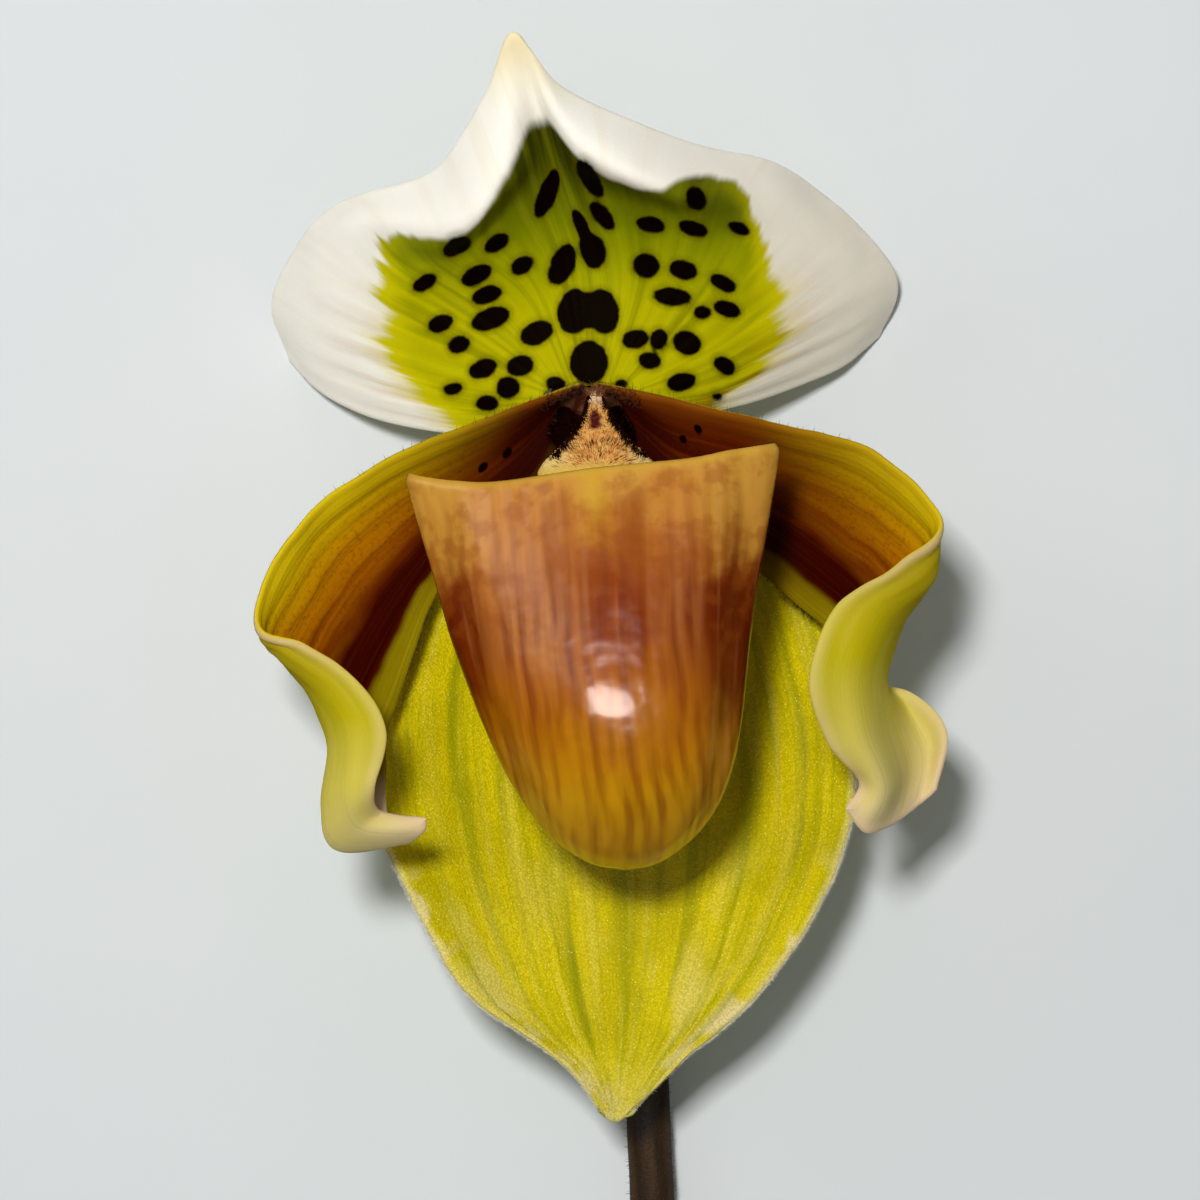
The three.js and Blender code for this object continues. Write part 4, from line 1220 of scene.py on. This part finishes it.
def grow_petal_hairs(node, skin, inward):
    count = 34
    along = np.linspace(0.02, 0.34, count) + RANDOM.normal(0, 0.004, count)
    points, out = on_margin(skin, along, upper=True)
    grow(node + "_upper_hairs", "petal", "petal_hair", points, out, spread=0.2,
         lengths=(0.5, 1.2), radius=0.022, taper=np.linspace(1.0, 0.6, count))
    points, out = on_margin(skin, RANDOM.uniform(0.1, 0.42, 130), upper=False)
    grow(node + "_lower_hairs", "petal", "petal_hair", points, out, spread=0.4,
         lengths=(0.25, 0.6), radius=0.028)
    _, points, _ = scatter(skin, count=260, along=(0.0, 0.06), across=(0.8, 1.0))
    grow(node + "_fuzz", "petal", "arch_fuzz", points, [0.3 * inward, 0.5, 0.7], spread=0.6,
         lengths=(0.4, 1.1), radius=0.028)
    _, points, _ = scatter(skin, count=30, along=(0.0, 0.07), across=(0.85, 1.0))
    grow(node + "_spikes", "petal", "petal_hair", points, [0.4 * inward, 0.1, 0.8], spread=0.5,
         lengths=(0.8, 1.6), radius=0.03)


def grow_anther_tuft(side, skin, inward):
    """A dark tuft that rises from an anther and leans over the staminode's margin."""
    _, points, normals = scatter(skin, count=620, along=(0, 1), across=(0, 1))
    lean = [0.6 * inward, -0.5, 1.0] + 0.1 * normals
    grow(f"anther_{side}_tuft", "anther", "tuft_hair", points, lean, spread=0.16,
         lengths=(2.4, 4.6), radius=0.042)


def grow_staminode_hairs(skin):
    _, points, normals = scatter(skin, count=460, along=(0.46, 0.7), across=(0.14, 0.86))
    lean = unit(points - BRISTLE_CENTRE) + 0.3 * normals
    grow("staminode_bristles", "staminode", "bristle", points, lean, spread=0.12,
         lengths=(0.35, 0.75), radius=0.018)
    _, points, normals = scatter(skin, count=900, along=(0.12, 0.6), across=(0.03, 0.97))
    grow("staminode_down", "staminode", "bristle", points, normals + [0, 0.3, 0], spread=0.3,
         lengths=(0.12, 0.28), radius=0.024)
    _, points, _ = scatter(skin, count=170, along=(0.0, 0.08), across=(0, 1))
    grow("staminode_crown", "staminode", "crown_hair", points, [0, 0.6, 0.5],
         spread=[1, 0.8, 0.6], lengths=(0.5, 1.2), radius=0.026)
    for side, band, inward in (("left", (0.0, 0.1), 1), ("right", (0.9, 1.0), -1)):
        along, points, normals = scatter(skin, count=560, along=(0.06, 0.6), across=band)
        lean = [0.3 * inward, -0.7, 0.3] + 0.5 * normals
        grow("staminode_comb_" + side, "staminode", "tuft_hair", points, lean, spread=0.25,
             lengths=(0.6, 1.4), radius=0.07,
             taper=np.interp(along, (0.1, 0.3, 0.66), (0.7, 1, 0.6)))


def grow_fringe(skin):
    """The white fringe round the synsepal."""
    for side, upper in (("left", False), ("right", True)):
        points, out = on_margin(skin, RANDOM.uniform(0.2, 1.0, 3200), upper)
        grow("synsepal_fringe_" + side, "synsepal", "down", points, out, spread=0.5,
             lengths=(0.25, 0.65), radius=0.02)


def grow_stem_hairs(organ, skin, count, start):
    _, points, normals = scatter(skin, count, along=(start, 1.0), across=(0, 1))
    grow(organ + "_hairs", organ, "stem_hair", points, normals, spread=0.25,
         lengths=(0.3, 0.6), radius=0.025)


def grow_ear_hairs(skin):
    """The short dark hairs on the edge of the pouch's two ears."""
    for side, across in (("left", (0.776, 0.796)), ("right", (0.204, 0.224))):
        _, points, normals = scatter(skin, count=150, along=(0, 0.16), across=across)
        grow("ear_hairs_" + side, "pouch", "ear_hair", points, normals, spread=0.4,
             lengths=(0.12, 0.3), radius=0.016)


def link(name, data):
    made = bpy.data.objects.new(name, data)
    bpy.context.scene.collection.objects.link(made)
    return made


def make_stage():
    """A pale floor, the lights, and the camera straight above.

    The key light shapes the flower and the gleam, which only reflections show, is what the
    wax of the pouch mirrors.
    """
    shader = Shader("floor", roughness=0.9, specular=0.1)
    grain = shader.noise(0.05)
    mesh = bpy.data.meshes.new("floor")
    corners = [(x * FLOOR_REACH, y * FLOOR_REACH, 0)
               for x, y in ((-1, -1), (1, -1), (1, 1), (-1, 1))]
    mesh.from_pydata(corners, [], [(0, 1, 2, 3)])
    mesh.materials.append(shader.finish(shader.mix(grain, (224, 227, 227), (220, 224, 224))))
    floor = link("floor", mesh)
    floor.visible_glossy = False

    world = bpy.data.worlds.new("studio")
    world.use_nodes = True
    background = world.node_tree.nodes["Background"].inputs
    background["Color"].default_value = linear_light((238, 241, 243))
    background["Strength"].default_value = 0.205
    world.cycles_visibility.glossy = False
    bpy.context.scene.world = world

    centre = Vector(FLOWER_CENTRE * MILLIMETRE)
    for name, place, width, height, watts in LIGHTS:
        light = bpy.data.lights.new(name, "AREA")
        light.shape = "RECTANGLE"
        light.size = width
        light.size_y = height
        light.energy = watts
        lamp = link(name, light)
        lamp.location = centre + Vector(place)
        lamp.rotation_euler = (-Vector(place)).to_track_quat("-Z", "Y").to_euler()
        lamp.visible_glossy = name != "key"
        lamp.visible_diffuse = name != "gleam"

    camera = bpy.data.cameras.new("camera")
    camera.lens = 150
    camera.sensor_width = 36
    camera.clip_start = 0.01
    eye = link("camera", camera)
    eye.location = Vector((FLOWER_CENTRE + CAMERA_PLACE) * MILLIMETRE)
    bpy.context.scene.camera = eye
    bpy.context.scene.view_settings.view_transform = "Standard"


make_stage()
HAIRS = {name: hair_material(name, *tones) for name, tones in HAIR_TONES.items()}

blade("dorsal_sepal", "dorsal_sepal", dorsal_material(), DORSAL_SEPAL, SEPAL_THICKNESS,
      dorsal_relief, DORSAL_SPOTS, rows=110, columns=260, turned=True)
synsepal = blade("synsepal", "synsepal", synsepal_material(), SYNSEPAL, SEPAL_THICKNESS,
                 synsepal_relief, rows=190, columns=110)
petals = {}
for petal, net, turned in (("petal_left", LEFT_PETAL, True), ("petal_right", RIGHT_PETAL, False)):
    petals[petal] = blade(petal, "petal", petal_material(petal), net, PETAL_THICKNESS,
                          petal_relief, PETAL_SPOTS[petal], rows=200, columns=80, turned=turned)
pouch = make_pouch(rows=190, columns=260)
staminode = blade("staminode", "staminode", staminode_material(), staminode_net(),
                  STAMINODE_THICKNESS, staminode_relief, STAMINODE_SPOT, rows=70, columns=70)
blade("bract", "bract", bract_material(), bract_net(), BRACT_THICKNESS, bract_relief,
      rows=80, columns=90, turned=True)
ovary = loft("ovary", "ovary", ovary_material(), OVARY, ovary_relief, rows=90, sides=72)
scape = loft("scape", "scape", scape_material(), SCAPE, scape_relief, rows=160, sides=48)
anthers = make_column()

grow_petal_hairs("petal_left", petals["petal_left"], inward=1)
grow_petal_hairs("petal_right", petals["petal_right"], inward=-1)
grow_anther_tuft("left", anthers["left"], inward=1)
grow_anther_tuft("right", anthers["right"], inward=-1)
grow_staminode_hairs(staminode)
grow_fringe(synsepal)
grow_stem_hairs("ovary", ovary, count=900, start=0.2)
grow_stem_hairs("scape", scape, count=2600, start=0.0)
grow_ear_hairs(pouch)
